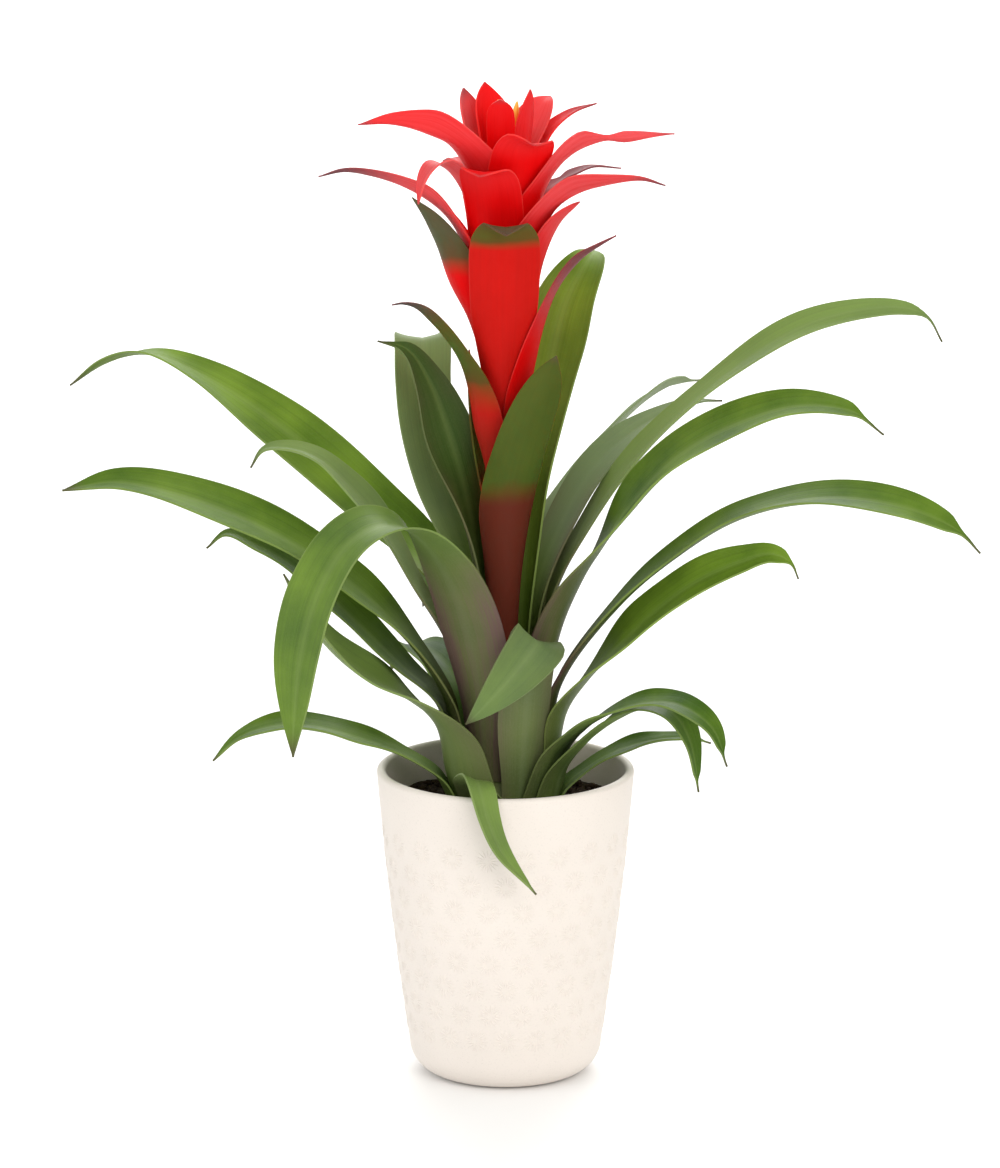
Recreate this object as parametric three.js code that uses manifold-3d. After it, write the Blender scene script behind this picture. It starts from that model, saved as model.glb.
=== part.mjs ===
// Potted guzmania: a bromeliad with a red flower head in a tapered ceramic pot.
// Millimetres, +Z up. The origin is the centre of the pot's flat foot, and -Y is the front.
import * as THREE from 'three';
import { mergeVertices } from 'three/addons/utils/BufferGeometryUtils.js';
import Module from 'manifold-3d';

const wasm = await Module();
wasm.setup();
const { smoothstep, degToRad, lerp } = THREE.MathUtils;

// Driving dimensions of the pot
const potHeight = 123;
const potRimRadius = 50.6;
const potFootRadius = 37.8;
const potFootRounding = 12.5;
const potBulge = 0.9;
const potWall = 3.5;
const potFloor = 5;
const potCorner = 8;
const potSides = 48;

// Driving dimensions of the soil and the stem
const fitGap = 0.3;
const soilTop = 108.5;
const holeRadius = 24.3;
const holeFloor = 88;
const rootRadius = holeRadius - fitGap;
const shoulderHeight = 100;
const stalkStart = 138;
const stalkFootRadius = 4.6;
const stalkRadius = 3.6;
const stalkTaperHeight = 262;
const stalkTop = 350;
const stalkTopRadius = 1.9;
const stemSides = 24;

// The plant's upright axis, and the nesting of its leaf sheaths around it
const axisX = -1;
const innerRing = 8;
const ringStep = 1.6;
const leafMiddle = 1.0;
const leafEdge = 0.7;
const bractMiddle = 0.8;
const bractEdge = 0.65;
const sheathSlope = 0.18;
const widestWrap = 1.3;

// How finely the blades are divided
const leafSteps = 12;
const bractSteps = 9;
const acrossSteps = 4;
const tipCrowding = 1.2;

const group = new THREE.Group();

function add(name, geometry, colour, roughness) {
  const material = new THREE.MeshStandardMaterial({ color: colour, roughness, metalness: 0 });
  const mesh = new THREE.Mesh(geometry, material);
  mesh.name = name;
  group.add(mesh);
  return mesh;
}

function lathe(points, sides) {
  const profile = points.map(([radius, height]) => new THREE.Vector2(radius, height));
  const geometry = new THREE.LatheGeometry(profile, sides);
  geometry.rotateX(Math.PI / 2);
  return geometry;
}

// Points of a circular arc in the radius and height plane, angles in degrees
function arc(radius, height, size, from, to, count) {
  const points = [];
  for (let i = 0; i <= count; i += 1) {
    const angle = degToRad(from + (to - from) * i / count);
    points.push([radius + size * Math.cos(angle), height + size * Math.sin(angle)]);
  }
  return points;
}

// The pot's outer radius at a height: a straight taper with a slight belly
function potRadius(height) {
  const t = (height - potFootRounding) / (potHeight - potFootRounding);
  return potFootRadius + (potRimRadius - potFootRadius) * t + potBulge * 4 * t * (1 - t);
}

function pot() {
  const lip = potWall / 2;
  const wallTop = potHeight - lip;
  const heights = [25, 45, 65, 85, 105];
  const foot = arc(potFootRadius - potFootRounding, potFootRounding, potFootRounding, -90, 0, 5);
  const outside = heights.map((z) => [potRadius(z), z]);
  const rim = arc(potRadius(wallTop) - lip, wallTop, lip, 0, 180, 6);
  const inside = heights.map((z) => [potRadius(z) - potWall, z]).reverse();
  const corner = [potRadius(potFloor + potFootRounding) - potWall, potFloor + potCorner];
  const bottom = [corner, [corner[0] - potCorner, potFloor], [0, potFloor]];
  return lathe([[0, 0], ...foot, ...outside, ...rim, ...inside, ...bottom], potSides);
}

// The soil fills the pot up to its own level, with one plain hole for the rootstock
function soil() {
  const side = (z) => potRadius(z) - potWall - fitGap;
  const corner = [side(potFloor + potFootRounding), potFloor + potCorner];
  const floor = potFloor + fitGap;
  const wall = [25, 45, 65, 85, soilTop].map((z) => [side(z), z]);
  const outside = [[0, floor], [corner[0] - potCorner, floor], corner, ...wall];
  const top = [[side(soilTop) - 9, soilTop + 0.8], [33, soilTop - 0.4], [holeRadius, soilTop]];
  const geometry = lathe([...outside, ...top, [holeRadius, holeFloor], [0, holeFloor]], potSides);
  const position = geometry.attributes.position;
  for (let i = 0; i < position.count; i += 1) {
    const radius = Math.hypot(position.getX(i), position.getY(i));
    const inHole = radius < holeRadius + 0.01 && position.getZ(i) > holeFloor - 0.01;
    if (inHole) position.setX(i, position.getX(i) + axisX);
  }
  return geometry;
}

// Radius of the rootstock's shoulder, which narrows to the flower stalk
const shoulderSlope = (stalkStart - shoulderHeight) / (rootRadius - stalkFootRadius);

function stem() {
  const root = [[0, holeFloor + fitGap], [rootRadius - 3, holeFloor + fitGap], [rootRadius, holeFloor + 4]];
  const shoulder = [[rootRadius, shoulderHeight], [stalkFootRadius, stalkStart]];
  const stalk = [[stalkRadius, stalkTaperHeight], [stalkTopRadius, stalkTop], [0, stalkTop]];
  return lathe([...root, ...shoulder, ...stalk], stemSides);
}

// Radius of the flower stalk at a height above the shoulder
function stalkAt(height) {
  const low = (height - stalkStart) / (stalkTaperHeight - stalkStart);
  if (low < 1) return lerp(stalkFootRadius, stalkRadius, low);
  const high = (height - stalkTaperHeight) / (stalkTop - stalkTaperHeight);
  return lerp(stalkRadius, stalkTopRadius, high);
}

// Height at which a leaf's foot meets the shoulder. The sheath's inner face is a row of flat
// strips, which are nearest the axis half way along each strip.
function leafFoot(ring, sheath) {
  const strip = degToRad(sheath / acrossSteps);
  const inner = (ring - leafMiddle / 2) * Math.cos(strip) - fitGap;
  return shoulderHeight + (rootRadius - inner) * shoulderSlope;
}

// A blade runs along its midrib from a foot on the stem to its tip. Each point of the midrib
// is [out, height, swing]: the distance from the plant's axis, the height, and the turn away
// from the blade's side in degrees. roll is its turn about the midrib, half way and at the tip.
// Near the axis the blade lies on a surface turned about the axis, so that the sheaths nest,
// and it opens into a free, slightly channelled blade between the two radii in open.
function bladeGeometry(spec) {
  const { side, midrib, steps, open, channel } = spec;
  const points = midrib.map(([out, height, swing = 0]) => {
    const angle = degToRad(side + swing);
    return new THREE.Vector3(axisX + out * Math.cos(angle), out * Math.sin(angle), height);
  });
  const curve = new THREE.CatmullRomCurve3(points, false, 'centripetal');
  const start = degToRad(side);
  let across = new THREE.Vector3(-Math.sin(start), Math.cos(start), 0);
  let before = new THREE.Vector3(0, 0, 1);
  const rows = [];
  for (let i = 0; i <= steps; i += 1) {
    const u = 1 - Math.pow(1 - i / steps, tipCrowding);
    const point = curve.getPointAt(u);
    const along = curve.getTangentAt(u);
    across.applyQuaternion(new THREE.Quaternion().setFromUnitVectors(before, along));
    before = along;
    const roll = lerp(spec.roll[0] * smoothstep(u, 0.15, 0.5), spec.roll[1], smoothstep(u, 0.6, 1));
    const sideways = across.clone().applyAxisAngle(along, degToRad(roll));
    const upward = along.clone().cross(sideways);
    const out = Math.hypot(point.x - axisX, point.y);
    const bearing = Math.atan2(point.y, point.x - axisX);
    const freedom = smoothstep(out, open[0], open[1]);
    const half = spec.halfWidth(u);
    const row = [];
    for (let j = 0; j <= acrossSteps; j += 1) {
      const x = 2 * j / acrossSteps - 1;
      const turn = bearing + x * Math.min(half / out, widestWrap);
      const nested = new THREE.Vector3(axisX + out * Math.cos(turn), out * Math.sin(turn), point.z);
      const free = point.clone().addScaledVector(sideways, x * half);
      free.addScaledVector(upward, channel * half * x * x);
      row.push(nested.lerp(free, freedom));
    }
    rows.push(row);
  }
  return thicken(rows, spec.middle, spec.edge);
}

// Closes a grid of points into a thin solid, thicker along the midrib than at the edges
function thicken(rows, middle, edge) {
  const last = rows.length - 1;
  const wide = rows[0].length - 1;
  const index = (i, j, face) => ((i * (wide + 1)) + j) * 2 + face;
  const vertices = [];
  rows.forEach((row, i) => row.forEach((point, j) => {
    const along = rows[Math.min(i + 1, last)][j].clone().sub(rows[Math.max(i - 1, 0)][j]);
    const across = row[Math.min(j + 1, wide)].clone().sub(row[Math.max(j - 1, 0)]);
    const normal = along.cross(across).normalize();
    const x = 2 * j / wide - 1;
    const half = lerp(middle, edge, x * x) / 2;
    for (const sign of [-1, 1]) vertices.push(...point.clone().addScaledVector(normal, sign * half));
  }));
  const faces = [];
  const quad = (a, b, c, d) => faces.push(a, b, c, a, c, d);
  for (let i = 0; i < last; i += 1) {
    for (let j = 0; j < wide; j += 1) {
      const corners = [[i, j], [i, j + 1], [i + 1, j + 1], [i + 1, j]];
      quad(...corners.map(([a, b]) => index(a, b, 0)));
      const [a, b, c, d] = corners.map(([p, q]) => index(p, q, 1));
      faces.push(a, c, b, a, d, c);
    }
    quad(index(i, 0, 0), index(i + 1, 0, 0), index(i + 1, 0, 1), index(i, 0, 1));
    quad(index(i, wide, 0), index(i, wide, 1), index(i + 1, wide, 1), index(i + 1, wide, 0));
  }
  for (let j = 0; j < wide; j += 1) {
    quad(index(0, j, 0), index(0, j, 1), index(0, j + 1, 1), index(0, j + 1, 0));
    quad(index(last, j, 0), index(last, j + 1, 0), index(last, j + 1, 1), index(last, j, 1));
  }
  const geometry = new THREE.BufferGeometry();
  geometry.setAttribute('position', new THREE.Float32BufferAttribute(vertices, 3));
  geometry.setIndex(faces);
  return geometry;
}

// Half the width of a leaf at a share of its length: a sheath, a strap and a pointed tip
function leafHalfWidth(foot, width, taperFrom) {
  return (u) => {
    const strap = lerp(foot, width / 2, smoothstep(u, 0, 0.3));
    const taper = Math.max(0, (u - taperFrom) / (1 - taperFrom));
    return Math.max(0.6, strap * (1 - taper * taper));
  };
}

// Half the width of a bract: it widens from the stalk to its belly and narrows to a fine tip
function bractHalfWidth(foot, width, belly, blunt) {
  return (u) => {
    const body = lerp(foot, width / 2, smoothstep(u, 0, belly));
    const taper = Math.max(0, (u - belly) / (1 - belly));
    return Math.max(0.5, body * (1 - Math.pow(taper, blunt)));
  };
}

// The rosette's leaves. tier counts the nested sheaths from the inside, side is the bearing
// in degrees from +X towards +Y, sheath is half the angle that the foot wraps.
const leafGreen = 0x4f7d2c;
const leaves = [
  { name: 'leaf_tall_dark', tier: -0.7, side: 150, sheath: 48, width: 25, roll: [-52, -20], open: [12, 26],
    midrib: [[7.6, 160], [9, 185], [11.8, 206], [17, 232, 2], [24.5, 257, 5], [31, 275, 9],
      [39, 287.5, 13], [50, 291, 17]] },
  { name: 'leaf_tall_right', tier: 0.2, side: 50, sheath: 48, width: 26, strap: 0.72, roll: [24, 24],
    open: [16, 36],
    midrib: [[9.2, 160], [11, 185], [14, 212], [17.3, 235], [22.5, 257], [30.5, 284], [38, 302],
      [48, 314], [60, 318.5, 4], [71, 316, 7]] },
  { name: 'leaf_tall_left', tier: 1.1, side: 140, sheath: 43, width: 22, strap: 0.9, roll: [-24, -52],
    open: [20, 40],
    midrib: [[11, 158], [13.2, 183], [22.5, 209], [33.5, 233, 1], [41, 255, -2], [45.5, 272, -6],
      [49, 281, -10], [55, 285, -15], [62, 282.5, -19], [67, 276, -22]] },
  { name: 'leaf_right_back', tier: 1.1, side: 32, sheath: 42, width: 20, roll: [10, 10],
    midrib: [[11.9, 155], [14.4, 185], [18.6, 200], [26.5, 216], [38.5, 234], [51, 245], [70, 254.5],
      [88, 259], [102, 258]] },
  { name: 'leaf_right_thin', tier: 2, side: 52, sheath: 34, width: 20, roll: [-38, -38],
    midrib: [[13.6, 155], [16.6, 185], [20.5, 199], [29.5, 213], [46, 229], [64, 242], [90, 254],
      [110, 258], [131, 256]] },
  { name: 'leaf_left_high', tier: 2, side: 147, sheath: 44, width: 26, roll: [-32, 20],
    midrib: [[13, 148], [17.5, 172, -3], [26.2, 192, -8.5], [45, 204.5, -8.5], [63, 218, -4],
      [101, 247, 2], [137, 265, 3], [162, 272, 4], [180, 267, 5], [194, 257, 6]] },
  { name: 'leaf_left_curl', tier: 3, side: 180, sheath: 46, width: 23, roll: [-15, -15],
    midrib: [[14.6, 145], [21.3, 172], [34.5, 196], [47, 219], [61, 237], [72, 247], [84, 251],
      [93, 250], [98, 243]] },
  { name: 'leaf_right_high', tier: 3, side: 8, sheath: 44, width: 20, roll: [4, 60],
    midrib: [[15, 150], [18.2, 185], [23.5, 201], [31, 215], [45, 236.5], [70, 263], [109, 291.5],
      [132, 300], [156, 302], [167, 298], [173, 288]] },
  { name: 'leaf_back_high', tier: 3, side: 93, sheath: 34, width: 25, roll: [0, 0],
    midrib: [[15, 145], [24, 176], [46, 198], [76, 206], [104, 198], [124, 178]] },
  { name: 'leaf_front_arch', tier: 4, side: 240, sheath: 36, width: 31, strap: 0.66, roll: [-24, -44],
    midrib: [[17, 150], [25, 176], [33, 198, -3], [44, 216, -6], [57, 228.5, -9], [71, 232, -12],
      [84, 226, -15], [96, 209, -17], [103.5, 186, -18], [107, 163, -18], [108, 146, -18]] },
  { name: 'leaf_right_broad', tier: 4, side: 338, sheath: 52, width: 32, roll: [26, 26],
    midrib: [[16.8, 150], [23, 180], [31, 198.5], [40, 213], [53.5, 233], [73, 254], [98, 269],
      [122, 277.5], [143, 277], [156, 269]] },
  { name: 'leaf_back_left', tier: 4, side: 106, sheath: 34, width: 25, roll: [0, 0],
    midrib: [[17, 140], [27, 166], [50, 182], [78, 186], [102, 177], [118, 160]] },
  { name: 'leaf_left_long', tier: 5, side: 183, sheath: 45, width: 27, roll: [-20, -20],
    midrib: [[19, 128], [23, 151], [44, 183], [79, 212], [118, 231], [150, 239], [171, 236]] },
  { name: 'leaf_right_long', tier: 5, side: 352, sheath: 33, width: 25, strap: 0.66, roll: [4, 32],
    midrib: [[18.6, 128], [22.5, 156], [46, 190], [69, 211], [93, 226.5], [125, 235], [158, 232],
      [178, 223], [186, 215]] },
  { name: 'leaf_front_fold', tier: 6, side: 292, sheath: 24, width: 22, strap: 0.6, roll: [-42, -50],
    open: [28, 40],
    midrib: [[19.5, 125], [23, 145], [26.5, 163], [33, 181], [39, 182, -2], [44, 173, -15],
      [49, 162, -28], [52, 153, -38]] },
  { name: 'leaf_left_under', tier: 6, side: 176, sheath: 42, width: 22, roll: [-16, -16],
    midrib: [[20, 122], [26, 149], [40, 163], [56, 179], [79, 200], [95, 210], [108, 215], [116, 209]] },
  { name: 'leaf_right_curl', tier: 6, side: 343, sheath: 26, width: 29, strap: 0.4, roll: [26, 50],
    midrib: [[20.5, 122], [25, 146], [34, 160], [48, 176], [64, 192], [80, 204], [96, 212], [108, 216],
      [116, 213], [119, 207]] },
  { name: 'leaf_back_right', tier: 6, side: 84, sheath: 36, width: 24, roll: [0, 0],
    midrib: [[20, 124], [30, 148], [55, 164], [90, 168], [120, 155], [138, 134]] },
  { name: 'leaf_left_broad', tier: 7, side: 214, sheath: 56, width: 31, strap: 0.68, roll: [-34, -34],
    midrib: [[22.1, 121], [26.5, 141, -3], [42, 156, -12], [58, 166, -14], [71, 177, -14],
      [82, 191, -14], [90, 208, -14]] },
  { name: 'leaf_right_low', tier: 7, side: 325, sheath: 36, width: 19, roll: [10, 10],
    midrib: [[21, 116], [27, 133], [37, 143], [51, 152.5], [69, 159], [84, 160], [98, 153], [105, 139]] },
  { name: 'leaf_back_side', tier: 7, side: 112, sheath: 36, width: 23, roll: [0, 0],
    midrib: [[22, 118], [34, 138], [60, 150], [90, 151], [112, 143], [122, 133]] },
  { name: 'leaf_left_low', tier: 8, side: 187, sheath: 31, width: 20, roll: [-8, -8],
    midrib: [[22.5, 113], [27, 121], [41, 130], [56, 136], [72, 141], [88, 142.5], [103, 138.5],
      [114, 129]] },
  { name: 'leaf_right_drop', tier: 8, side: 333, sheath: 32, width: 18, roll: [8, 8],
    midrib: [[22.6, 114], [26, 125], [36, 137], [50, 148.5], [64, 155], [74, 153], [81, 143], [85, 123]] },
  { name: 'leaf_front_hanging', tier: 8, side: 248, sheath: 30, width: 15, roll: [-8, -30],
    midrib: [[22.8, 113], [28, 119], [36, 125], [44, 129, 8], [52, 127.7, 12], [57.5, 117, 16],
      [60, 104, 22], [61.5, 88, 34]] },
  { name: 'leaf_back_low', tier: 8, side: 96, sheath: 32, width: 22, roll: [0, 0],
    midrib: [[22.5, 112], [32, 125], [55, 136], [82, 134], [104, 118], [113, 102]] },
  { name: 'leaf_right_small', tier: 9, side: 5, sheath: 30, width: 14, roll: [6, 6],
    midrib: [[23.3, 110], [25.5, 115], [31, 120], [42, 127], [58, 132], [73, 133], [82, 130.5]] },
];

// The bracts, from the lowest on the flower stalk to the tuft at the top of the head.
// foot is the height at which a bract leaves the stalk, wrap is half its angle there. Up to
// its first midrib point a bract rises as a cone, so that those with lower feet lie outside.
const bractRed = 0xd5121a;
const bracts = [
  { name: 'stalk_bract_front', foot: 150, side: 272, wrap: 80, width: 27, belly: 0.55, blunt: 4,
    colour: leafGreen,
    midrib: [[5.2, 160], [5.6, 178], [7, 200, 2], [10, 222, 10], [14, 240, 20], [18, 255, 28],
      [22, 270, 34], [27, 284, 38], [30, 292, 41]] },
  { name: 'stalk_bract_back', foot: 196, side: 95, wrap: 80, width: 18, belly: 0.4, colour: bractRed,
    midrib: [[6.5, 215], [11, 238], [18, 256], [27, 270]] },
  { name: 'stalk_bract_side', foot: 210, side: 145, wrap: 60, width: 11, belly: 0.4, colour: leafGreen,
    midrib: [[7.6, 230], [11.5, 250], [14.5, 270], [16, 288]] },
  { name: 'stalk_bract_left', foot: 232, side: 225, wrap: 70, width: 19, belly: 0.3, colour: bractRed,
    midrib: [[7.5, 247], [11, 260], [13, 273, -5], [16, 284, -12], [21, 293.5, -18], [28, 302.5, -20],
      [35, 309, -20], [42, 311.5, -20], [47, 311.5, -20]] },
  { name: 'stalk_bract_right', foot: 246, side: 325, wrap: 70, width: 18, belly: 0.3, colour: bractRed,
    midrib: [[7.6, 262], [11.4, 280, 4], [15.8, 300, 13], [21.3, 315, 19], [30, 327, 20],
      [38.5, 333, 20], [45, 337, 20]] },
  { name: 'head_bract_front', foot: 254, side: 272, wrap: 75, width: 29, belly: 0.6, blunt: 4.2,
    colour: bractRed,
    midrib: [[9.9, 284], [13.9, 299], [17.9, 312], [21, 325], [24.6, 338], [28.8, 343.5], [33, 341]] },
  { name: 'head_bract_rear', foot: 254, side: 80, wrap: 70, width: 24, belly: 0.5, colour: bractRed,
    midrib: [[16.8, 326], [26, 342], [38, 350]] },
  { name: 'head_bract_left', foot: 262, side: 205, wrap: 60, width: 23, belly: 0.5, roll: [22, 24],
    open: [11, 22], channel: 0.4, colour: bractRed,
    midrib: [[9.1, 289], [13, 302], [18.3, 316], [23.2, 331, -4], [28.5, 341.5, -9], [35.5, 351, -14]] },
  { name: 'head_bract_right', foot: 262, side: 345, wrap: 60, width: 25.2, belly: 0.5, roll: [-10, -10],
    channel: 0.35, colour: bractRed,
    midrib: [[15.2, 324], [22, 340.5], [30.5, 349.5]] },
  { name: 'head_bract_long_left', foot: 269, side: 184, wrap: 55, width: 26, belly: 0.4, blunt: 1.3,
    roll: [16, 10], channel: 0.45, colour: bractRed,
    midrib: [[13.3, 321], [16.5, 334], [22, 343], [30, 350], [40, 355.5], [51, 358.8, -2], [61, 360, -3],
      [71, 357.8, -4]] },
  { name: 'head_bract_rear_right', foot: 269, side: 50, wrap: 55, width: 20, belly: 0.4, colour: bractRed,
    midrib: [[14.1, 323], [18.2, 340], [24, 348], [37, 352], [53, 354], [72, 351]] },
  { name: 'head_bract_long_right', foot: 276, side: 335, wrap: 58, width: 34, belly: 0.45, blunt: 1,
    roll: [-14, -10], channel: 0.45, colour: bractRed,
    midrib: [[12.6, 322], [15.8, 337], [20.9, 346.5], [30, 353.5, 3], [42, 357.5, 5], [56, 360, 5],
      [66, 358.5, 5]] },
  { name: 'head_bract_rear_left', foot: 276, side: 118, wrap: 55, width: 20, belly: 0.45, colour: bractRed,
    midrib: [[12.7, 325], [17.7, 343], [26, 353], [38, 358], [50, 356]] },
  { name: 'head_bract_centre', foot: 283, side: 254, wrap: 65, width: 25, belly: 0.7, blunt: 6,
    colour: bractRed,
    midrib: [[12, 330], [14.9, 344], [19.5, 356], [26, 364], [32, 363.4]] },
  { name: 'head_bract_upper_rear', foot: 283, side: 85, wrap: 60, width: 19, belly: 0.5, colour: bractRed,
    midrib: [[12, 330], [15.4, 346], [21, 360], [30, 368], [40, 369]] },
  { name: 'head_bract_folded', foot: 290, side: 222, wrap: 40, width: 21, belly: 0.66, blunt: 2.2,
    colour: bractRed,
    midrib: [[10.4, 330], [12.6, 343], [16.5, 354, -12], [22, 362, -15], [28, 365, -14], [34, 360, -13],
      [37.5, 350.5, -12]] },
  { name: 'head_bract_upper_right', foot: 290, side: 342, wrap: 55, width: 42, belly: 0.34, blunt: 0.75,
    roll: [-6, -4], channel: 0.6, colour: bractRed,
    midrib: [[12.1, 337], [15, 350], [20.5, 361, 4], [28, 368.5, 9], [38, 372.5, 14], [46, 373, 17],
      [55, 374, 19], [66, 374, 20]] },
  { name: 'head_bract_upper_left', foot: 304, side: 226, wrap: 50, width: 40, belly: 0.4, blunt: 1,
    roll: [14, 10], channel: 0.6, colour: bractRed,
    midrib: [[9.5, 338], [11.2, 350], [15, 362.5], [21.5, 372, -7], [32, 378.5, -17], [45, 381.8, -24],
      [58.5, 381.5, -27]] },
  { name: 'head_bract_upper_centre', foot: 297, side: 296, wrap: 55, width: 27, belly: 0.7, blunt: 6,
    roll: [-2, -14], open: [13, 26], colour: bractRed,
    midrib: [[11.2, 341], [13.9, 354], [18.3, 366], [22.5, 374], [28, 374.5]] },
  { name: 'tuft_bract_left', foot: 311, side: 152, wrap: 40, width: 20, belly: 0.65, blunt: 3,
    colour: bractRed,
    midrib: [[8.8, 343], [10.4, 357], [13.3, 371], [16, 383], [17.2, 391]] },
  { name: 'tuft_bract_front', foot: 311, side: 266, wrap: 45, width: 11, belly: 0.75, blunt: 5,
    colour: bractRed,
    midrib: [[8.4, 341], [9.9, 356], [11.5, 370], [13.2, 382], [15.5, 390.5]] },
  { name: 'head_bract_top_right', foot: 311, side: 28, wrap: 40, width: 15, belly: 0.5, colour: bractRed,
    midrib: [[9.2, 343], [11.3, 356], [15, 367], [20, 374.5], [29, 380], [41, 383]] },
  { name: 'tuft_bract_right', foot: 317, side: 52, wrap: 34, width: 20, belly: 0.7, blunt: 3,
    colour: bractRed,
    midrib: [[7.7, 342], [9.2, 356], [11.9, 367], [18.5, 377], [25, 383.5], [30, 385]] },
  { name: 'tuft_bract_rear', foot: 324, side: 125, wrap: 38, width: 23, belly: 0.65, blunt: 2.6,
    colour: bractRed,
    midrib: [[6.3, 342], [7.5, 357], [8.8, 371], [10.5, 384], [12.3, 393]] },
  { name: 'tuft_bract_flower', foot: 317, side: 326, wrap: 34, width: 12.5, belly: 0.75, blunt: 2.6,
    colour: bractRed,
    midrib: [[7, 342], [8.3, 357], [10.4, 372], [11.8, 384], [12.6, 393]] },
];

// Slim yellow buds that stand together on the top of the flower stalk
const budBearings = [37, 109, 253, 325];
const budLength = 36;
const budRadius = 1.4;
const budLean = 9;

function flowers() {
  const body = [[0, 0], [1.1, 0], [0.9, budLength * 0.5], [budRadius, budLength * 0.75],
    [0.7, budLength - 1.5], [0, budLength]];
  const parts = [lathe([[0, 0], [stalkTopRadius, 0], [stalkTopRadius, 6], [0, 7]], 12)];
  for (const bearing of budBearings) {
    const bud = lathe(body, 8);
    bud.translate(0.9, 0, 1);
    bud.rotateY(degToRad(budLean));
    bud.rotateZ(degToRad(bearing));
    parts.push(bud);
  }
  const geometry = joined(parts);
  geometry.translate(axisX, 0, stalkTop + fitGap);
  return geometry;
}

function solidOf(geometry) {
  const bare = geometry.clone();
  bare.deleteAttribute('normal');
  bare.deleteAttribute('uv');
  const merged = mergeVertices(bare, 1e-4);
  const mesh = new wasm.Mesh({
    numProp: 3,
    vertProperties: new Float32Array(merged.attributes.position.array),
    triVerts: new Uint32Array(merged.index.array),
  });
  return new wasm.Manifold(mesh);
}

function joined(geometries) {
  const solids = geometries.map(solidOf);
  const whole = solids.slice(1).reduce((sum, solid) => sum.add(solid), solids[0]);
  const mesh = whole.getMesh();
  const geometry = new THREE.BufferGeometry();
  geometry.setAttribute('position', new THREE.Float32BufferAttribute(mesh.vertProperties, 3));
  geometry.setIndex(Array.from(mesh.triVerts));
  return geometry;
}

add('cover_pot', pot(), 0xf3ebe0, 0.75);
add('soil', soil(), 0x2e231b, 0.95);
const stemMesh = add('stem', stem(), 0x6f7d3a, 0.6);
stemMesh.position.x = axisX;

for (const leaf of leaves) {
  const ring = innerRing + leaf.tier * ringStep;
  const foot = [ring, leafFoot(ring, leaf.sheath)];
  const geometry = bladeGeometry({
    side: leaf.side,
    roll: leaf.roll,
    midrib: [foot, ...leaf.midrib],
    steps: leafSteps,
    open: leaf.open ?? [22, 58],
    channel: 0.22,
    middle: leafMiddle,
    edge: leafEdge,
    halfWidth: leafHalfWidth(ring * degToRad(leaf.sheath), leaf.width, leaf.strap ?? 0.5),
  });
  add(leaf.name, geometry, leafGreen, 0.5);
}

for (const bract of bracts) {
  const ring = stalkAt(bract.foot) + fitGap + bractMiddle / 2;
  const sheath = [[ring, bract.foot]];
  for (let height = bract.foot + 15; height < bract.midrib[0][1] - 9; height += 15) {
    sheath.push([ring + sheathSlope * (height - bract.foot), height]);
  }
  const geometry = bladeGeometry({
    side: bract.side,
    roll: bract.roll ?? [0, 0],
    midrib: [...sheath, ...bract.midrib],
    steps: bractSteps,
    open: bract.open ?? [16, 34],
    channel: bract.channel ?? 0.25,
    middle: bractMiddle,
    edge: bractEdge,
    halfWidth: bractHalfWidth(ring * degToRad(bract.wrap), bract.width, bract.belly, bract.blunt ?? 1.6),
  });
  add(bract.name, geometry, bract.colour, 0.45);
}

add('flowers', flowers(), 0xf0c84a, 0.5);

export default group;
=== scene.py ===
# %% [markdown]
# # A potted guzmania
# This lesson dresses a plain solid model of a bromeliad in a ceramic pot. The plain model is
# loaded first and stays the frame: every finished piece is made in the same place and rides on
# it. All lengths are in metres, and a small helper turns millimetres into metres.

# %% Load the plain model
import math
import random

import bpy
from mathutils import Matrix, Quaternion, Vector


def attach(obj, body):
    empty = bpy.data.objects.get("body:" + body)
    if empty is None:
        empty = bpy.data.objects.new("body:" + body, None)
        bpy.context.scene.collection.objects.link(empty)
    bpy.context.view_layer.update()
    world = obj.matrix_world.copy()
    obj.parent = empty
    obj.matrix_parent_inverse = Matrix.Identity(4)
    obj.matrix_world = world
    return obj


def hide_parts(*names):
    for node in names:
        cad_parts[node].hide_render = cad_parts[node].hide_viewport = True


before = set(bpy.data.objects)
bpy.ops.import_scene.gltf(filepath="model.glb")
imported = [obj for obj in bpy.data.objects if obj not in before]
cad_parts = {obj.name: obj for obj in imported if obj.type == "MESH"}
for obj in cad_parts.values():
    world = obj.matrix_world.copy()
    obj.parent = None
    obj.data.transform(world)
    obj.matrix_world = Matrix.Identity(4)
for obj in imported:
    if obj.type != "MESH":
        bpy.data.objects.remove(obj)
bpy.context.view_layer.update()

# %% [markdown]
# ## Camera
# The plant was photographed from far away with a long lens, a little from above. A long lens
# keeps the pot's sides nearly parallel, so the camera stands 2.8 m off and looks 13.6 degrees
# down. The picture's middle falls on the plant's middle, so no lens shift is needed.

# %% Place the camera
def mm(value):
    return value * 0.001


CAMERA_PLACE, CAMERA_TILT = (-2.16, -2800, 873.3), 76.413
SENSOR_WIDTH, LENS = 36, 266.06

bpy.ops.object.select_all(action="DESELECT")
bpy.ops.object.camera_add(location=[mm(c) for c in CAMERA_PLACE],
                          rotation=(math.radians(CAMERA_TILT), 0, 0))
camera = bpy.context.object
camera.name = "plant_camera"
camera.data.sensor_fit = "HORIZONTAL"
camera.data.sensor_width = SENSOR_WIDTH
camera.data.lens = LENS
camera.data.clip_end = 50
bpy.context.scene.camera = camera
print("camera at", tuple(round(x, 3) for x in camera.location))

# %% [markdown]
# ## Materials: a few helpers
# Colours are picked as sRGB hex values, as on any screen, but the shader works in linear light,
# so one function converts them. A second function adds one node with its settings and links,
# which keeps every material below short enough to read as a recipe.

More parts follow.
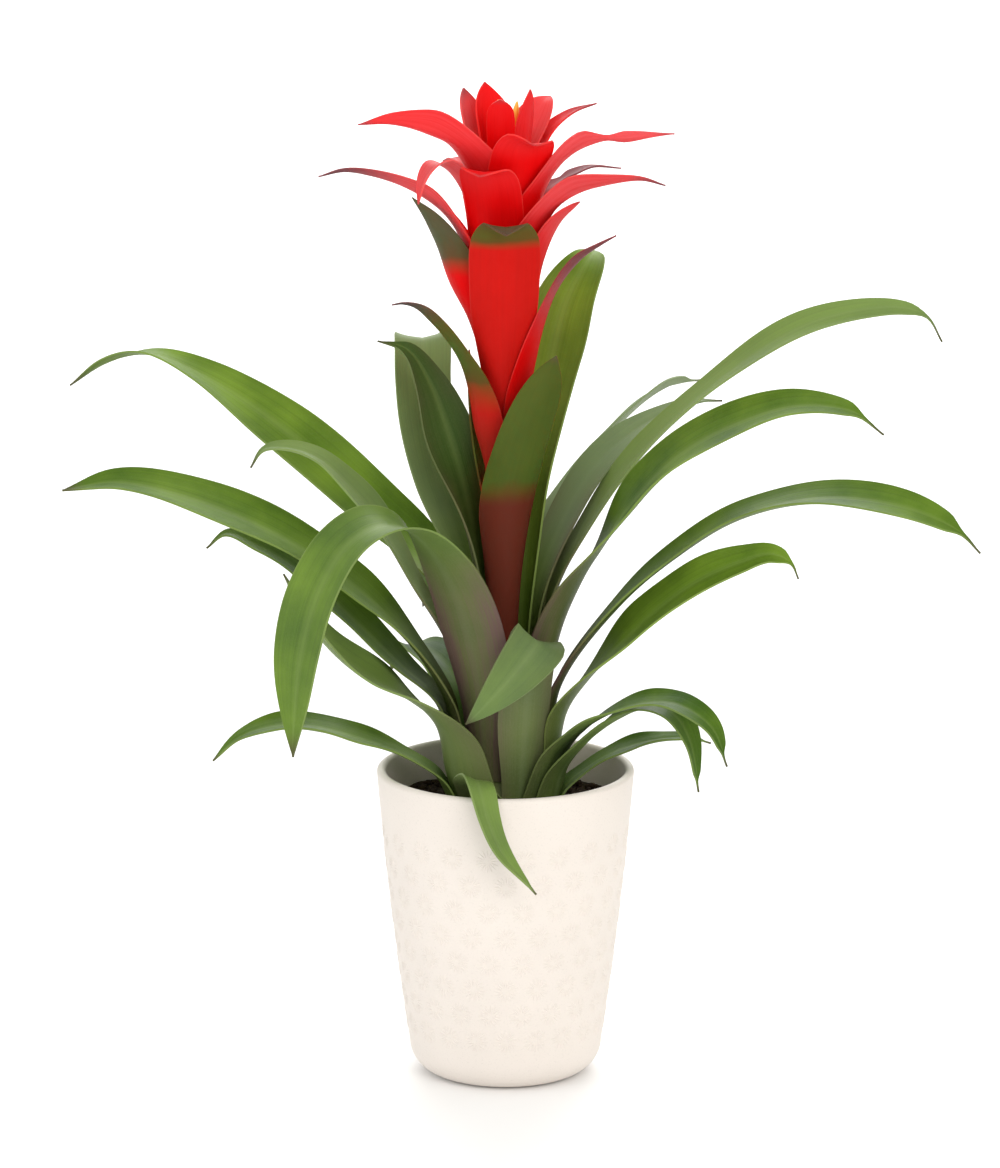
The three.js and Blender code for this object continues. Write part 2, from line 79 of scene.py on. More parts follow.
# %% Colour and node helpers
def linear(hex_colour):
    channels = [int(hex_colour[i:i + 2], 16) / 255 for i in (1, 3, 5)]
    return [c / 12.92 if c <= 0.04045 else ((c + 0.055) / 1.055) ** 2.4 for c in channels] + [1]


def new_material(name):
    material = bpy.data.materials.new(name)
    material.use_nodes = True
    material.node_tree.nodes.clear()
    return material


def first_open(sockets, name=None):
    return next(s for s in sockets if s.enabled and name in (None, s.name))


def add_node(material, kind, inputs=None, **settings):
    node = material.node_tree.nodes.new("ShaderNode" + kind)
    for key, value in settings.items():
        setattr(node, key, value)
    for key, value in (inputs or {}).items():
        socket = node.inputs[key] if isinstance(key, int) else first_open(node.inputs, key)
        if isinstance(value, bpy.types.Node):
            value = first_open(value.outputs)
        if isinstance(value, bpy.types.NodeSocket):
            material.node_tree.links.new(value, socket)
        else:
            socket.default_value = linear(value) if isinstance(value, str) else value
    return node


def output(material, shader):
    add_node(material, "OutputMaterial", {"Surface": shader})
    return material


print("helpers ready")

# %% [markdown]
# ## Floor and light
# A studio sweep is one pale surface that runs from under the pot to far behind it, with no edge
# in view. The light is soft: a big panel in front and a little to the right, a weaker one on the
# left that opens the shadows, one above for the glow on the bracts, one behind for the leaves'
# rims, a strong one far back that whitens the backdrop, and a pale sky all round.

# %% Floor
def plain_paint(name, colour, roughness):
    paint = new_material(name)
    grain = add_node(paint, "TexNoise", {"Scale": 900.0})
    bump = add_node(paint, "Bump", {"Height": grain, "Strength": 0.05, "Distance": 0.0002})
    return output(paint, add_node(paint, "BsdfPrincipled", {"Base Color": colour,
        "Roughness": roughness, "Normal": bump}))


bpy.ops.mesh.primitive_plane_add(size=14, location=(0, 3, 0))
floor = bpy.context.object
floor.name = "studio_floor"
floor.data.materials.append(plain_paint("matt_white_paper", "#fafafa", 0.9))
print("floor is", round(floor.dimensions.x, 1), "m wide")

# %% Lights
def panel(name, place, aim, size, watts, colour):
    bpy.ops.object.light_add(type="AREA", location=place)
    lamp = bpy.context.object
    lamp.name = name
    lamp.data.size = size
    lamp.data.energy = watts
    lamp.data.color = linear(colour)[:3]
    towards = Vector(aim) - Vector(place)
    lamp.rotation_euler = towards.to_track_quat("-Z", "Y").to_euler()
    return lamp


middle = (0, 0, 0.22)
panel("key_panel", (0.65, -1.8, 1.2), middle, 1.1, 14.5, "#fffaf4")
panel("fill_panel", (-1.8, -1.1, 0.9), middle, 1.3, 6.5, "#f8faff")
panel("top_panel", (0.1, 0.2, 1.9), middle, 1.3, 3.5, "#ffffff")
panel("back_panel", (0.3, 1.9, 1.2), middle, 1.4, 7, "#ffffff")
panel("backdrop_panel", (0, 4.2, 2.6), (0, 3.4, 0), 3.5, 130, "#ffffff")

world = bpy.data.worlds.new("pale_sky")
bpy.context.scene.world = world
world.use_nodes = True
sky = world.node_tree.nodes["Background"]
sky.inputs["Color"].default_value = (1, 0.995, 0.98, 1)
sky.inputs["Strength"].default_value = 0.84
bpy.context.scene.view_settings.view_transform = "Standard"

# %% [markdown]
# ## Turning a profile
# The pot, the soil and the flower stalk are all round. Each starts as a circle at its lowest
# ring. The ring is extruded upwards and scaled again and again, as a potter pulls a wall, and
# the open ends close to a point. A helper does this from a list of radius and height pairs.

# %% A lathe made of extrudes
def edit_all():
    bpy.ops.object.mode_set(mode="EDIT")
    bpy.ops.mesh.select_all(action="SELECT")


def joined(pieces):
    bpy.ops.object.select_all(action="DESELECT")
    for piece in pieces:
        piece.select_set(True)
    bpy.context.view_layer.objects.active = pieces[0]
    bpy.ops.object.join()
    return pieces[0]


def turned(name, profile, sides, centre_x=0):
    bpy.ops.object.select_all(action="DESELECT")
    radius, height = profile[0]
    bpy.ops.mesh.primitive_circle_add(vertices=sides, radius=mm(radius),
                                      location=(mm(centre_x), 0, mm(height)))
    bpy.ops.object.transform_apply()
    piece = bpy.context.object
    piece.name = name
    edit_all()
    for new_radius, new_height in profile[1:]:
        rise = mm(new_height - height)
        bpy.ops.mesh.extrude_region_move(TRANSFORM_OT_translate={"value": (0, 0, rise)})
        pivot = (mm(centre_x), 0, mm(new_height))
        scale = new_radius / radius
        bpy.ops.transform.resize(value=(scale, scale, 1), center_override=pivot)
        radius, height = new_radius, new_height
    bpy.ops.mesh.select_all(action="SELECT")
    bpy.ops.mesh.remove_doubles(threshold=1e-6)
    bpy.ops.mesh.normals_make_consistent(inside=False)
    bpy.ops.object.mode_set(mode="OBJECT")
    return piece


def dress(piece, node, materials, angle=40):
    for material in materials:
        piece.data.materials.append(material)
    bpy.ops.object.select_all(action="DESELECT")
    piece.select_set(True)
    bpy.context.view_layer.objects.active = piece
    bpy.ops.object.shade_smooth_by_angle(angle=math.radians(angle))
    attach(piece, "root")
    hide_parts(node)
    return piece


print("lathe ready")

# %% [markdown]
# ## The ceramic pot
# A slip-cast cover pot in cream matt glaze: a straight taper with a hardly visible belly, a
# rounded foot and a thick rounded lip. Its wall carries a very low relief of small bursts of
# strokes, a common pattern on such pots. The glaze softens them until only a grazing light
# shows them, so the strokes are real geometry, but only a fifth of a millimetre high.

# %% The matt glaze
def matt_glaze():
    glaze = new_material("cream_matt_glaze")
    place = add_node(glaze, "TexCoord").outputs["Object"]
    cloud = add_node(glaze, "TexNoise", {"Vector": place, "Scale": 28.0, "Detail": 3.0})
    grit = add_node(glaze, "TexNoise", {"Vector": place, "Scale": 1400.0, "Detail": 3.0})
    tint = add_node(glaze, "Mix", {"Factor": cloud, "A": "#e0d8d0", "B": "#e8e0d8"},
        data_type="RGBA")
    speck = add_node(glaze, "MapRange", {"Value": grit, "From Min": 0.3, "From Max": 0.42,
        "To Min": 0.93})
    colour = add_node(glaze, "Mix", {"Factor": 1.0, "A": tint, "B": speck}, data_type="RGBA",
        blend_type="MULTIPLY")
    roughness = add_node(glaze, "MapRange", {"Value": cloud, "To Min": 0.5, "To Max": 0.66})
    bump = add_node(glaze, "Bump", {"Height": grit, "Strength": 0.25, "Distance": 0.0001})
    return output(glaze, add_node(glaze, "BsdfPrincipled", {"Base Color": colour,
        "Roughness": roughness, "IOR": 1.5, "Specular IOR Level": 0.35, "Normal": bump}))


cream_glaze = matt_glaze()
print("glaze:", len(cream_glaze.node_tree.nodes), "nodes")

# %% The pot's wall
POT_HEIGHT, POT_RIM, POT_FOOT, FOOT_ROUND, POT_WALL = 123, 50.6, 37.8, 12.5, 3.5
POT_BELLY, FLOOR_TOP, SIDES_START, SIDE_STEP, SIDE_RINGS = 0.9, 5, 17, 4.5, 23
CENTRE = 0.05


def pot_radius(height):
    t = (height - FOOT_ROUND) / (POT_HEIGHT - FOOT_ROUND)
    return POT_FOOT + (POT_RIM - POT_FOOT) * t + POT_BELLY * 4 * t * (1 - t)


def arc(radius, height, size, start, stop, count):
    turns = [math.radians(start + (stop - start) * i / count) for i in range(count + 1)]
    return [(radius + size * math.cos(t), height + size * math.sin(t)) for t in turns]


lip = POT_WALL / 2
wall_top = POT_HEIGHT - lip
heights = [SIDES_START + SIDE_STEP * i for i in range(SIDE_RINGS)]
pot_profile = [(CENTRE, 0.6), (17, 0.6), (21, 0.4), (22.5, 0), (25.3, 0)]
pot_profile += arc(POT_FOOT - FOOT_ROUND, FOOT_ROUND, FOOT_ROUND, -84, 0, 14)
pot_profile += [(pot_radius(h), h) for h in heights]
pot_profile += arc(pot_radius(wall_top) - lip, wall_top, lip, 0, 180, 14)
pot_profile += [(pot_radius(h) - POT_WALL, h) for h in reversed(heights)]
inner_foot = pot_radius(SIDES_START) - POT_WALL
pot_profile += [(inner_foot - 1.2, 12), (inner_foot - 4, 7.5)]
pot_profile += [(inner_foot - 9, FLOOR_TOP), (CENTRE, FLOOR_TOP)]
pot = turned("cover_pot_glazed", pot_profile, 160)
print("pot:", len(pot.data.polygons), "faces,", round(pot.dimensions.z * 1000, 1), "mm high")

# %% [markdown]
# ## The relief on the pot
# Each burst is a ring of slim strokes round an empty centre, and the bursts stand in a half-drop
# lattice. One stroke is modelled once: a squashed sphere with its lower half cut away. It is
# copied along the wall, turned to its place in its burst, and laid on the wall's curve.

# %% One stroke
bpy.ops.object.select_all(action="DESELECT")
bpy.ops.mesh.primitive_uv_sphere_add(segments=8, ring_count=4, radius=1, location=(0, 0, 0))
stroke = bpy.context.object
edit_all()
bpy.ops.transform.rotate(value=math.radians(90), orient_axis="Y", center_override=(0, 0, 0))
bpy.ops.mesh.bisect(plane_co=(0, 0, -0.2), plane_no=(0, 0, 1), clear_inner=True)
bpy.ops.object.mode_set(mode="OBJECT")
stroke_points = [v.co.copy() for v in stroke.data.vertices]
stroke_faces = [tuple(p.vertices) for p in stroke.data.polygons]
bpy.data.objects.remove(stroke)
print("one stroke has", len(stroke_faces), "faces")

# %% The lattice of bursts
BURSTS_ROUND, BURST_ROWS, BURST_PITCH, LOWEST_BURST = 21, 8, 10.8, 22
STROKES, BURST_REACH = 16, 3.1
STROKE_LONG, STROKE_WIDE, STROKE_HIGH = 1.9, 0.36, 0.2


def on_wall(sideways, height, proud):
    radius = pot_radius(height) + proud
    turn = sideways / pot_radius(height)
    return Vector((radius * math.sin(turn), -radius * math.cos(turn), height))


points, faces = [], []
for row in range(BURST_ROWS):
    burst_height = LOWEST_BURST + BURST_PITCH * row
    for column in range(BURSTS_ROUND):
        turn = 2 * math.pi * (column + 0.5 * (row % 2)) / BURSTS_ROUND
        for k in range(STROKES):
            ray = 2 * math.pi * k / STROKES
            start = len(points)
            for co in stroke_points:
                reach = BURST_REACH + STROKE_LONG * co.x
                aside = STROKE_WIDE * co.y
                sideways = reach * math.cos(ray) - aside * math.sin(ray)
                height = burst_height + reach * math.sin(ray) + aside * math.cos(ray)
                around = turn * pot_radius(height) + sideways
                points.append(tuple(mm(c) for c in on_wall(around, height, STROKE_HIGH * co.z)))
            faces += [tuple(start + i for i in face) for face in stroke_faces]
relief_mesh = bpy.data.meshes.new("relief")
relief_mesh.from_pydata(points, [], faces)
relief = bpy.data.objects.new("relief", relief_mesh)
bpy.context.collection.objects.link(relief)
dress(joined([pot, relief]), "cover_pot", [cream_glaze], angle=50)
print("pot with relief:", len(pot.data.polygons), "faces")

# %% [markdown]
# ## The peat
# Potting peat is a dark, crumbly, matt heap of fibres. The top is uneven by a millimetre or two
# and crumbs of all sizes lie on it, a few of them paler bits of bark. A turned disc gets its
# lumps from a Displace modifier, and crumbs are low-poly balls that a rough texture breaks up.

# %% Peat material
def damp_peat():
    peat = new_material("damp_peat")
    place = add_node(peat, "TexCoord").outputs["Object"]
    lumps = add_node(peat, "TexNoise", {"Vector": place, "Scale": 260.0, "Detail": 6.0,
        "Roughness": 0.7})
    fibre = add_node(peat, "TexNoise", {"Vector": place, "Scale": 900.0, "Detail": 3.0})
    # The peat is darker where its bump is low: painted shade in the hollows between lumps.
    hollow_shade = add_node(peat, "MapRange", {"Value": lumps, "From Min": 0.35, "From Max": 0.7})
    dark = add_node(peat, "Mix", {"Factor": hollow_shade, "A": "#1a130d", "B": "#4a3828"},
        data_type="RGBA")
    chance = add_node(peat, "MapRange", {"Value": fibre, "From Min": 0.66, "From Max": 0.72})
    colour = add_node(peat, "Mix", {"Factor": chance, "A": dark, "B": "#7a634a"}, data_type="RGBA")
    bump = add_node(peat, "Bump", {"Height": lumps, "Strength": 0.9, "Distance": 0.0012})
    return output(peat, add_node(peat, "BsdfPrincipled", {"Base Color": colour, "Roughness": 0.95,
        "Specular IOR Level": 0.25, "Normal": bump}))


peat = damp_peat()
print("peat:", len(peat.node_tree.nodes), "nodes")

# %% The heap and its crumbs
SOIL_TOP, SOIL_BASE, FIT_GAP, ROOT_RADIUS, CRUMBS = 108.5, 96, 0.3, 24, 420
soil_edge = pot_radius(SOIL_TOP) - POT_WALL - FIT_GAP
soil_foot = pot_radius(SOIL_BASE) - POT_WALL - FIT_GAP
soil_profile = [(CENTRE, SOIL_BASE), (soil_foot, SOIL_BASE), (soil_edge, SOIL_TOP - 0.2)]
soil_profile += [(soil_edge - 1.1 * i, SOIL_TOP + 0.25 * math.sin(i)) for i in range(1, 41)]
soil_profile += [(CENTRE, SOIL_TOP)]
soil = turned("peat_heap", soil_profile, 144)
heap_noise = bpy.data.textures.new("heap_noise", "CLOUDS")
heap_noise.noise_scale = mm(7)
heap_noise.noise_depth = 3
lumps = soil.modifiers.new("lumps", "DISPLACE")
lumps.texture = heap_noise
lumps.direction = "Z"
lumps.strength = mm(3.2)
lumps.mid_level = 0.55
bpy.ops.object.modifier_apply(modifier="lumps")

draw = random.Random(11)
crumbs = [soil]
for i in range(CRUMBS):
    reach = ROOT_RADIUS + (soil_edge - ROOT_RADIUS - 2.5) * math.sqrt(draw.random())
    turn = draw.uniform(0, 2 * math.pi)
    size = draw.choice((0.5, 0.7, 0.9, 1.2, 1.7))
    place = (mm(reach * math.cos(turn)), mm(reach * math.sin(turn)), mm(SOIL_TOP + 0.2 * size))
    bpy.ops.object.select_all(action="DESELECT")
    bpy.ops.mesh.primitive_ico_sphere_add(subdivisions=1, radius=mm(size), location=place)
    crumb = bpy.context.object
    crumb.scale = (draw.uniform(0.7, 1.5), draw.uniform(0.6, 1.1), draw.uniform(0.5, 0.9))
    crumb.rotation_euler = [draw.uniform(0, 3) for _ in range(3)]
    crumbs.append(crumb)
dress(joined(crumbs), "soil", [peat], angle=60)
print("peat:", len(soil.data.polygons), "faces")

# %% [markdown]
# ## The flower stalk
# A thick rootstock narrows to a slim upright stalk that runs into the flower head. Old leaf
# scars ring it. It is nearly hidden, so a turned shape with slight rings is enough.

# %% Stalk material and shape
def stalk_skin():
    skin = new_material("green_stalk_skin")
    place = add_node(skin, "TexCoord").outputs["Object"]
    height = add_node(skin, "SeparateXYZ", {"Vector": place}).outputs["Z"]
    mottle = add_node(skin, "TexNoise", {"Vector": place, "Scale": 180.0, "Detail": 4.0})
    green = add_node(skin, "Mix", {"Factor": mottle, "A": "#59672c", "B": "#7f8b45"},
        data_type="RGBA")
    rise = add_node(skin, "MapRange", {"Value": height, "From Min": 0.21, "From Max": 0.26})
    colour = add_node(skin, "Mix", {"Factor": rise, "A": green, "B": "#a3231c"}, data_type="RGBA")
    bump = add_node(skin, "Bump", {"Height": mottle, "Strength": 0.3, "Distance": 0.0003})
    return output(skin, add_node(skin, "BsdfPrincipled", {"Base Color": colour, "Roughness": 0.5,
        "IOR": 1.45, "Normal": bump}))


AXIS_X, SHOULDER, ROOT_STEPS = -1, 100, 12
STALK = [(138, 4.6), (262, 3.6), (350, 1.9)]
SCAR_STEP, SCAR = 4, 0.12
stalk_start, stalk_foot = STALK[0]


def mix(a, b, t):
    return a + (b - a) * t


def stalk_radius(height):
    (h0, r0), (h1, r1) = STALK[:2] if height < STALK[1][0] else STALK[1:]
    return mix(r0, r1, (height - h0) / (h1 - h0))


root = ROOT_RADIUS - 0.2
stalk_profile = [(CENTRE, SHOULDER - 2), (22, SHOULDER - 2), (root, SHOULDER)]
for i in range(1, ROOT_STEPS + 1):
    share = i / ROOT_STEPS
    stalk_profile.append((mix(root, stalk_foot, share), mix(SHOULDER, stalk_start, share)))
for i in range(1, 54):
    height = stalk_start + SCAR_STEP * i
    stalk_profile.append((stalk_radius(height) + (SCAR if i % 6 == 0 else 0), height))
stalk_profile += [(CENTRE, STALK[-1][0] + 0.2)]
stalk = turned("flower_stalk", stalk_profile, 48, AXIS_X)
dress(stalk, "stem", [stalk_skin()])
print("stalk:", round(stalk.dimensions.z * 1000), "mm long")

# %% [markdown]
# ## How a blade is shaped
# A guzmania leaf is a strap: it clasps the plant's middle with a wide sheath, rises, opens and
# arches over to a fine tip. No single bend gives that, so each blade starts as a flat grid, and
# each of its points is then put along a midrib curve in code. Near the plant's axis the points
# lie on a surface turned about the axis, so that sheaths nest, and further out they open into
# a free, channelled blade. Solidify gives it two faces, the upper and the paler lower one.

# %% The midrib: a smooth curve through given points
def midrib_samples(points, per_span=24):
    ends = [points[0] * 2 - points[1]] + points + [points[-1] * 2 - points[-2]]
    samples = []
    for i in range(len(points) - 1):
        p0, p1, p2, p3 = ends[i:i + 4]
        d0, d1, d2 = (max((b - a).length, 1e-6) ** 0.5 for a, b in ((p0, p1), (p1, p2), (p2, p3)))
        slope1 = ((p1 - p0) / d0 - (p2 - p0) / (d0 + d1) + (p2 - p1) / d1) * d1
        slope2 = ((p2 - p1) / d1 - (p3 - p1) / (d1 + d2) + (p3 - p2) / d2) * d1
        for k in range(per_span):
            t = k / per_span
            samples.append(p1 + slope1 * t + (3 * (p2 - p1) - 2 * slope1 - slope2) * t ** 2
                           + (2 * (p1 - p2) + slope1 + slope2) * t ** 3)
    return samples + [points[-1]]


def along_curve(samples, shares):
    lengths = [0]
    for a, b in zip(samples, samples[1:]):
        lengths.append(lengths[-1] + (b - a).length)
    found, k = [], 0
    for share in shares:
        goal = share * lengths[-1]
        while k < len(lengths) - 2 and lengths[k + 1] < goal:
            k += 1
        part = (goal - lengths[k]) / (lengths[k + 1] - lengths[k])
        step = samples[k + 1] - samples[k]
        found.append((samples[k].lerp(samples[k + 1], part), step.normalized()))
    return found, lengths[-1]


def smooth(value, start, stop):
    t = min(1, max(0, (value - start) / (stop - start)))
    return t * t * (3 - 2 * t)


print("curve helpers ready")

# %% The blade: a grid laid along its midrib
WIDEST_WRAP, TWIST_FROM, CREASE_WIDTH, TIP_CROWDING = 1.3, 0.7, 0.16, 1.2


def blade_points(spec, rows, columns):
    points = []
    for out, height, *swing in spec["midrib"]:
        turn = math.radians(spec["side"] + (swing[0] if swing else 0))
        points.append(Vector((AXIS_X + out * math.cos(turn), out * math.sin(turn), height)))
    shares = [1 - (1 - i / rows) ** TIP_CROWDING for i in range(rows + 1)]
    places, length = along_curve(midrib_samples(points), shares)
    side = math.radians(spec["side"])
    across = Vector((-math.sin(side), math.cos(side), 0))
    before = Vector((0, 0, 1))
    grid = []
    for u, (place, along) in zip(shares, places):
        across.rotate(before.rotation_difference(along))
        before = along
        roll = mix(spec["roll"][0] * smooth(u, 0.15, 0.5), spec["roll"][1], smooth(u, 0.6, 1))
        roll += spec["twist"] * smooth(u, TWIST_FROM, 1)
        sideways = across.copy()
        sideways.rotate(Quaternion(along, math.radians(roll)))
        upward = along.cross(sideways)
        out = math.hypot(place.x - AXIS_X, place.y)
        bearing = math.atan2(place.y, place.x - AXIS_X)
        freedom = smooth(out, *spec["open"])
        half = spec["half_width"](u)
        row = []
        for j in range(columns + 1):
            x = 2 * j / columns - 1
            turn = bearing + x * min(half / out, WIDEST_WRAP)
            nested = Vector((AXIS_X + out * math.cos(turn), out * math.sin(turn), place.z))
            crease = -spec["crease"] * math.exp(-(x / CREASE_WIDTH) ** 2) * smooth(half, 1.5, 5)
            ripple = spec["ripple"] * math.sin(spec["waves"] * u + spec["phase"] + 1.7 * (x > 0))
            lift = spec["channel"] * half * x * x + crease
            lift += ripple * abs(x) ** 3 * smooth(half, 1, 6)
            free = place + sideways * (x * half) + upward * lift
            row.append((nested.lerp(free, freedom), u, x, out))
        grid.append(row)
    return grid, length


def blade(name, spec, rows, columns, skins, thickness):
    grid, length = blade_points(spec, rows, columns)
    bpy.ops.object.select_all(action="DESELECT")
    bpy.ops.mesh.primitive_grid_add(x_subdivisions=columns, y_subdivisions=rows, size=2,
                                    location=(0, 0, 0))
    piece = bpy.context.object
    piece.name = name
    mesh = piece.data
    mesh.uv_layers[0].name = "blade"
    tone = mesh.color_attributes.new(name="tone", type="FLOAT_COLOR", domain="POINT")
    for vertex in mesh.vertices:
        i = round((vertex.co.y + 1) / 2 * rows)
        j = round((1 - vertex.co.x) / 2 * columns)
        place, u, x, out = grid[i][j]
        vertex.co = mm(place)
        tone.data[vertex.index].color = spec["tone"](u, x, out, place.z)
    for skin in skins:
        mesh.materials.append(skin)
    wall = piece.modifiers.new("wall", "SOLIDIFY")
    wall.thickness = mm(thickness)
    wall.offset = 0
    wall.material_offset = 1
    bpy.ops.object.modifier_apply(modifier="wall")
    return piece, length


print("blade maker ready")

# %% [markdown]
# ## Living skin
# A leaf's skin is a waxy cuticle over green tissue. The eye reads it from its fine veins, which
# all run lengthwise, from a paler channel along the middle and a thin pale margin, from
# yellowish and bluish patches, and from a broad soft gloss. The lower face is duller: pale
# scurf greys it, and towards the sheath it turns purple brown. The colour follows the blade, so
# the pattern reads the blade's own UV map and a colour stored on its points, whose channels hold
# four tones. Red is the brown stain near the foot; on a bract it is also painted shade where
# its foot sits under other bracts. Green is a leaf's age together with painted light and shade,
# each leaf's green set lighter or darker for how lit it stands, and on a bract its green zone.
# Blue is the dry, dark tip. Alpha is a pale film of wax, which on shaded leaves is also painted
# light, and on a bract the paler red, which is painted sheen and light glowing through its ends.

# %% Shared pattern of a blade
def blade_pattern(skin, veins_across):
    uv = add_node(skin, "UVMap", uv_map="blade")
    flat = add_node(skin, "SeparateXYZ", {"Vector": uv})
    stretch = add_node(skin, "Mapping", {"Vector": uv, "Scale": (veins_across, 2.2, 1)})
    veins = add_node(skin, "TexNoise", {"Vector": stretch, "Scale": 1.0, "Detail": 3.0,
        "Roughness": 0.6})
    aside = add_node(skin, "Math", {0: flat.outputs["X"], 1: 0.5}, operation="SUBTRACT")
    aside = add_node(skin, "Math", {0: aside}, operation="ABSOLUTE")
    place = add_node(skin, "TexCoord").outputs["Object"]
    patches = add_node(skin, "TexNoise", {"Vector": place, "Scale": 34.0, "Detail": 3.0})
    tones = add_node(skin, "Attribute", attribute_name="tone")
    split = add_node(skin, "SeparateColor", {"Color": tones})
    return veins, aside, patches, (*split.outputs, tones.outputs["Alpha"])


# %% Skin of the leaves
def leaf_skin(name, colours, roughness, scurf):
    skin = new_material(name)
    veins, aside, patches, (brown, age_and_light_tone, dry, wax_film_and_light) = blade_pattern(skin, 34.0)
    drift = add_node(skin, "MapRange", {"Value": patches, "From Min": 0.3, "From Max": 0.7,
        "To Min": -0.35, "To Max": 0.35})
    # A leaf's green level is its age together with painted light and shade: each leaf's value is
    # set lighter or darker for how lit it stands.
    age_light_and_patches = add_node(skin, "Math", {0: age_and_light_tone, 1: drift}, operation="ADD", use_clamp=True)
    green = add_node(skin, "Mix", {"Factor": age_light_and_patches, "A": colours["deep"], "B": colours["light"]},
        data_type="RGBA")
    vein_shade = add_node(skin, "MapRange", {"Value": veins, "From Min": 0.3, "From Max": 0.7,
        "To Min": 0.86, "To Max": 1.1})
    green = add_node(skin, "Mix", {"Factor": 1.0, "A": green, "B": vein_shade}, data_type="RGBA",
        blend_type="MULTIPLY")
    channel = add_node(skin, "MapRange", {"Value": aside, "From Max": 0.14, "To Min": 0.2,
        "To Max": 0.0}, interpolation_type="SMOOTHSTEP")
    green = add_node(skin, "Mix", {"Factor": channel, "A": green, "B": colours["channel"]},
        data_type="RGBA")
    edge = add_node(skin, "MapRange", {"Value": aside, "From Min": 0.482, "From Max": 0.498,
        "To Max": 0.3})
    green = add_node(skin, "Mix", {"Factor": edge, "A": green, "B": "#9aa86c"}, data_type="RGBA")
    place = add_node(skin, "TexCoord").outputs["Object"]
    specks = add_node(skin, "TexNoise", {"Vector": place, "Scale": 1500.0})
    dust = add_node(skin, "MapRange", {"Value": specks, "From Min": 0.45, "From Max": 0.65,
        "To Max": scurf})
    green = add_node(skin, "Mix", {"Factor": dust, "A": green, "B": "#a9ad96"}, data_type="RGBA")
    # The pale wax film is partly the leaf's own wax and partly painted light that lifts leaves
    # standing in shade.
    waxed_and_lit = add_node(skin, "Mix", {"Factor": wax_film_and_light, "A": green, "B": "#7c8770"}, data_type="RGBA")
    cloudy = add_node(skin, "MapRange", {"Value": patches, "From Min": 0.35, "From Max": 0.65,
        "To Min": 0.5, "To Max": 1.1})
    streaks = add_node(skin, "MapRange", {"Value": veins, "From Min": 0.35, "From Max": 0.65,
        "To Min": 0.7, "To Max": 1.3})
    stain = add_node(skin, "Math", {0: cloudy, 1: streaks}, operation="MULTIPLY")
    stain = add_node(skin, "Math", {0: brown, 1: stain}, operation="MULTIPLY", use_clamp=True)
    stained = add_node(skin, "Mix", {"Factor": stain, "A": waxed_and_lit, "B": colours["stain"]},
        data_type="RGBA")
    colour = add_node(skin, "Mix", {"Factor": dry, "A": stained, "B": "#4b3f33"}, data_type="RGBA")
    gloss = add_node(skin, "MapRange", {"Value": veins, "To Min": roughness - 0.06,
        "To Max": roughness + 0.08})
    bump = add_node(skin, "Bump", {"Height": veins, "Strength": 0.35, "Distance": 0.0003})
    return output(skin, add_node(skin, "BsdfPrincipled", {"Base Color": colour, "Roughness": gloss,
        "IOR": 1.45, "Specular IOR Level": 0.09, "Normal": bump}))


leaf_upper = leaf_skin("waxy_leaf_upper_face", {
    "deep": "#355514", "light": "#708e2b", "channel": "#8ea55c", "stain": "#5c4340"}, 0.44, 0.02)
leaf_lower = leaf_skin("scurfy_leaf_lower_face", {
    "deep": "#425925", "light": "#6f8738", "channel": "#7c9064", "stain": "#705a54"}, 0.46, 0.05)
print("leaf skins:", leaf_upper.name, leaf_lower.name)

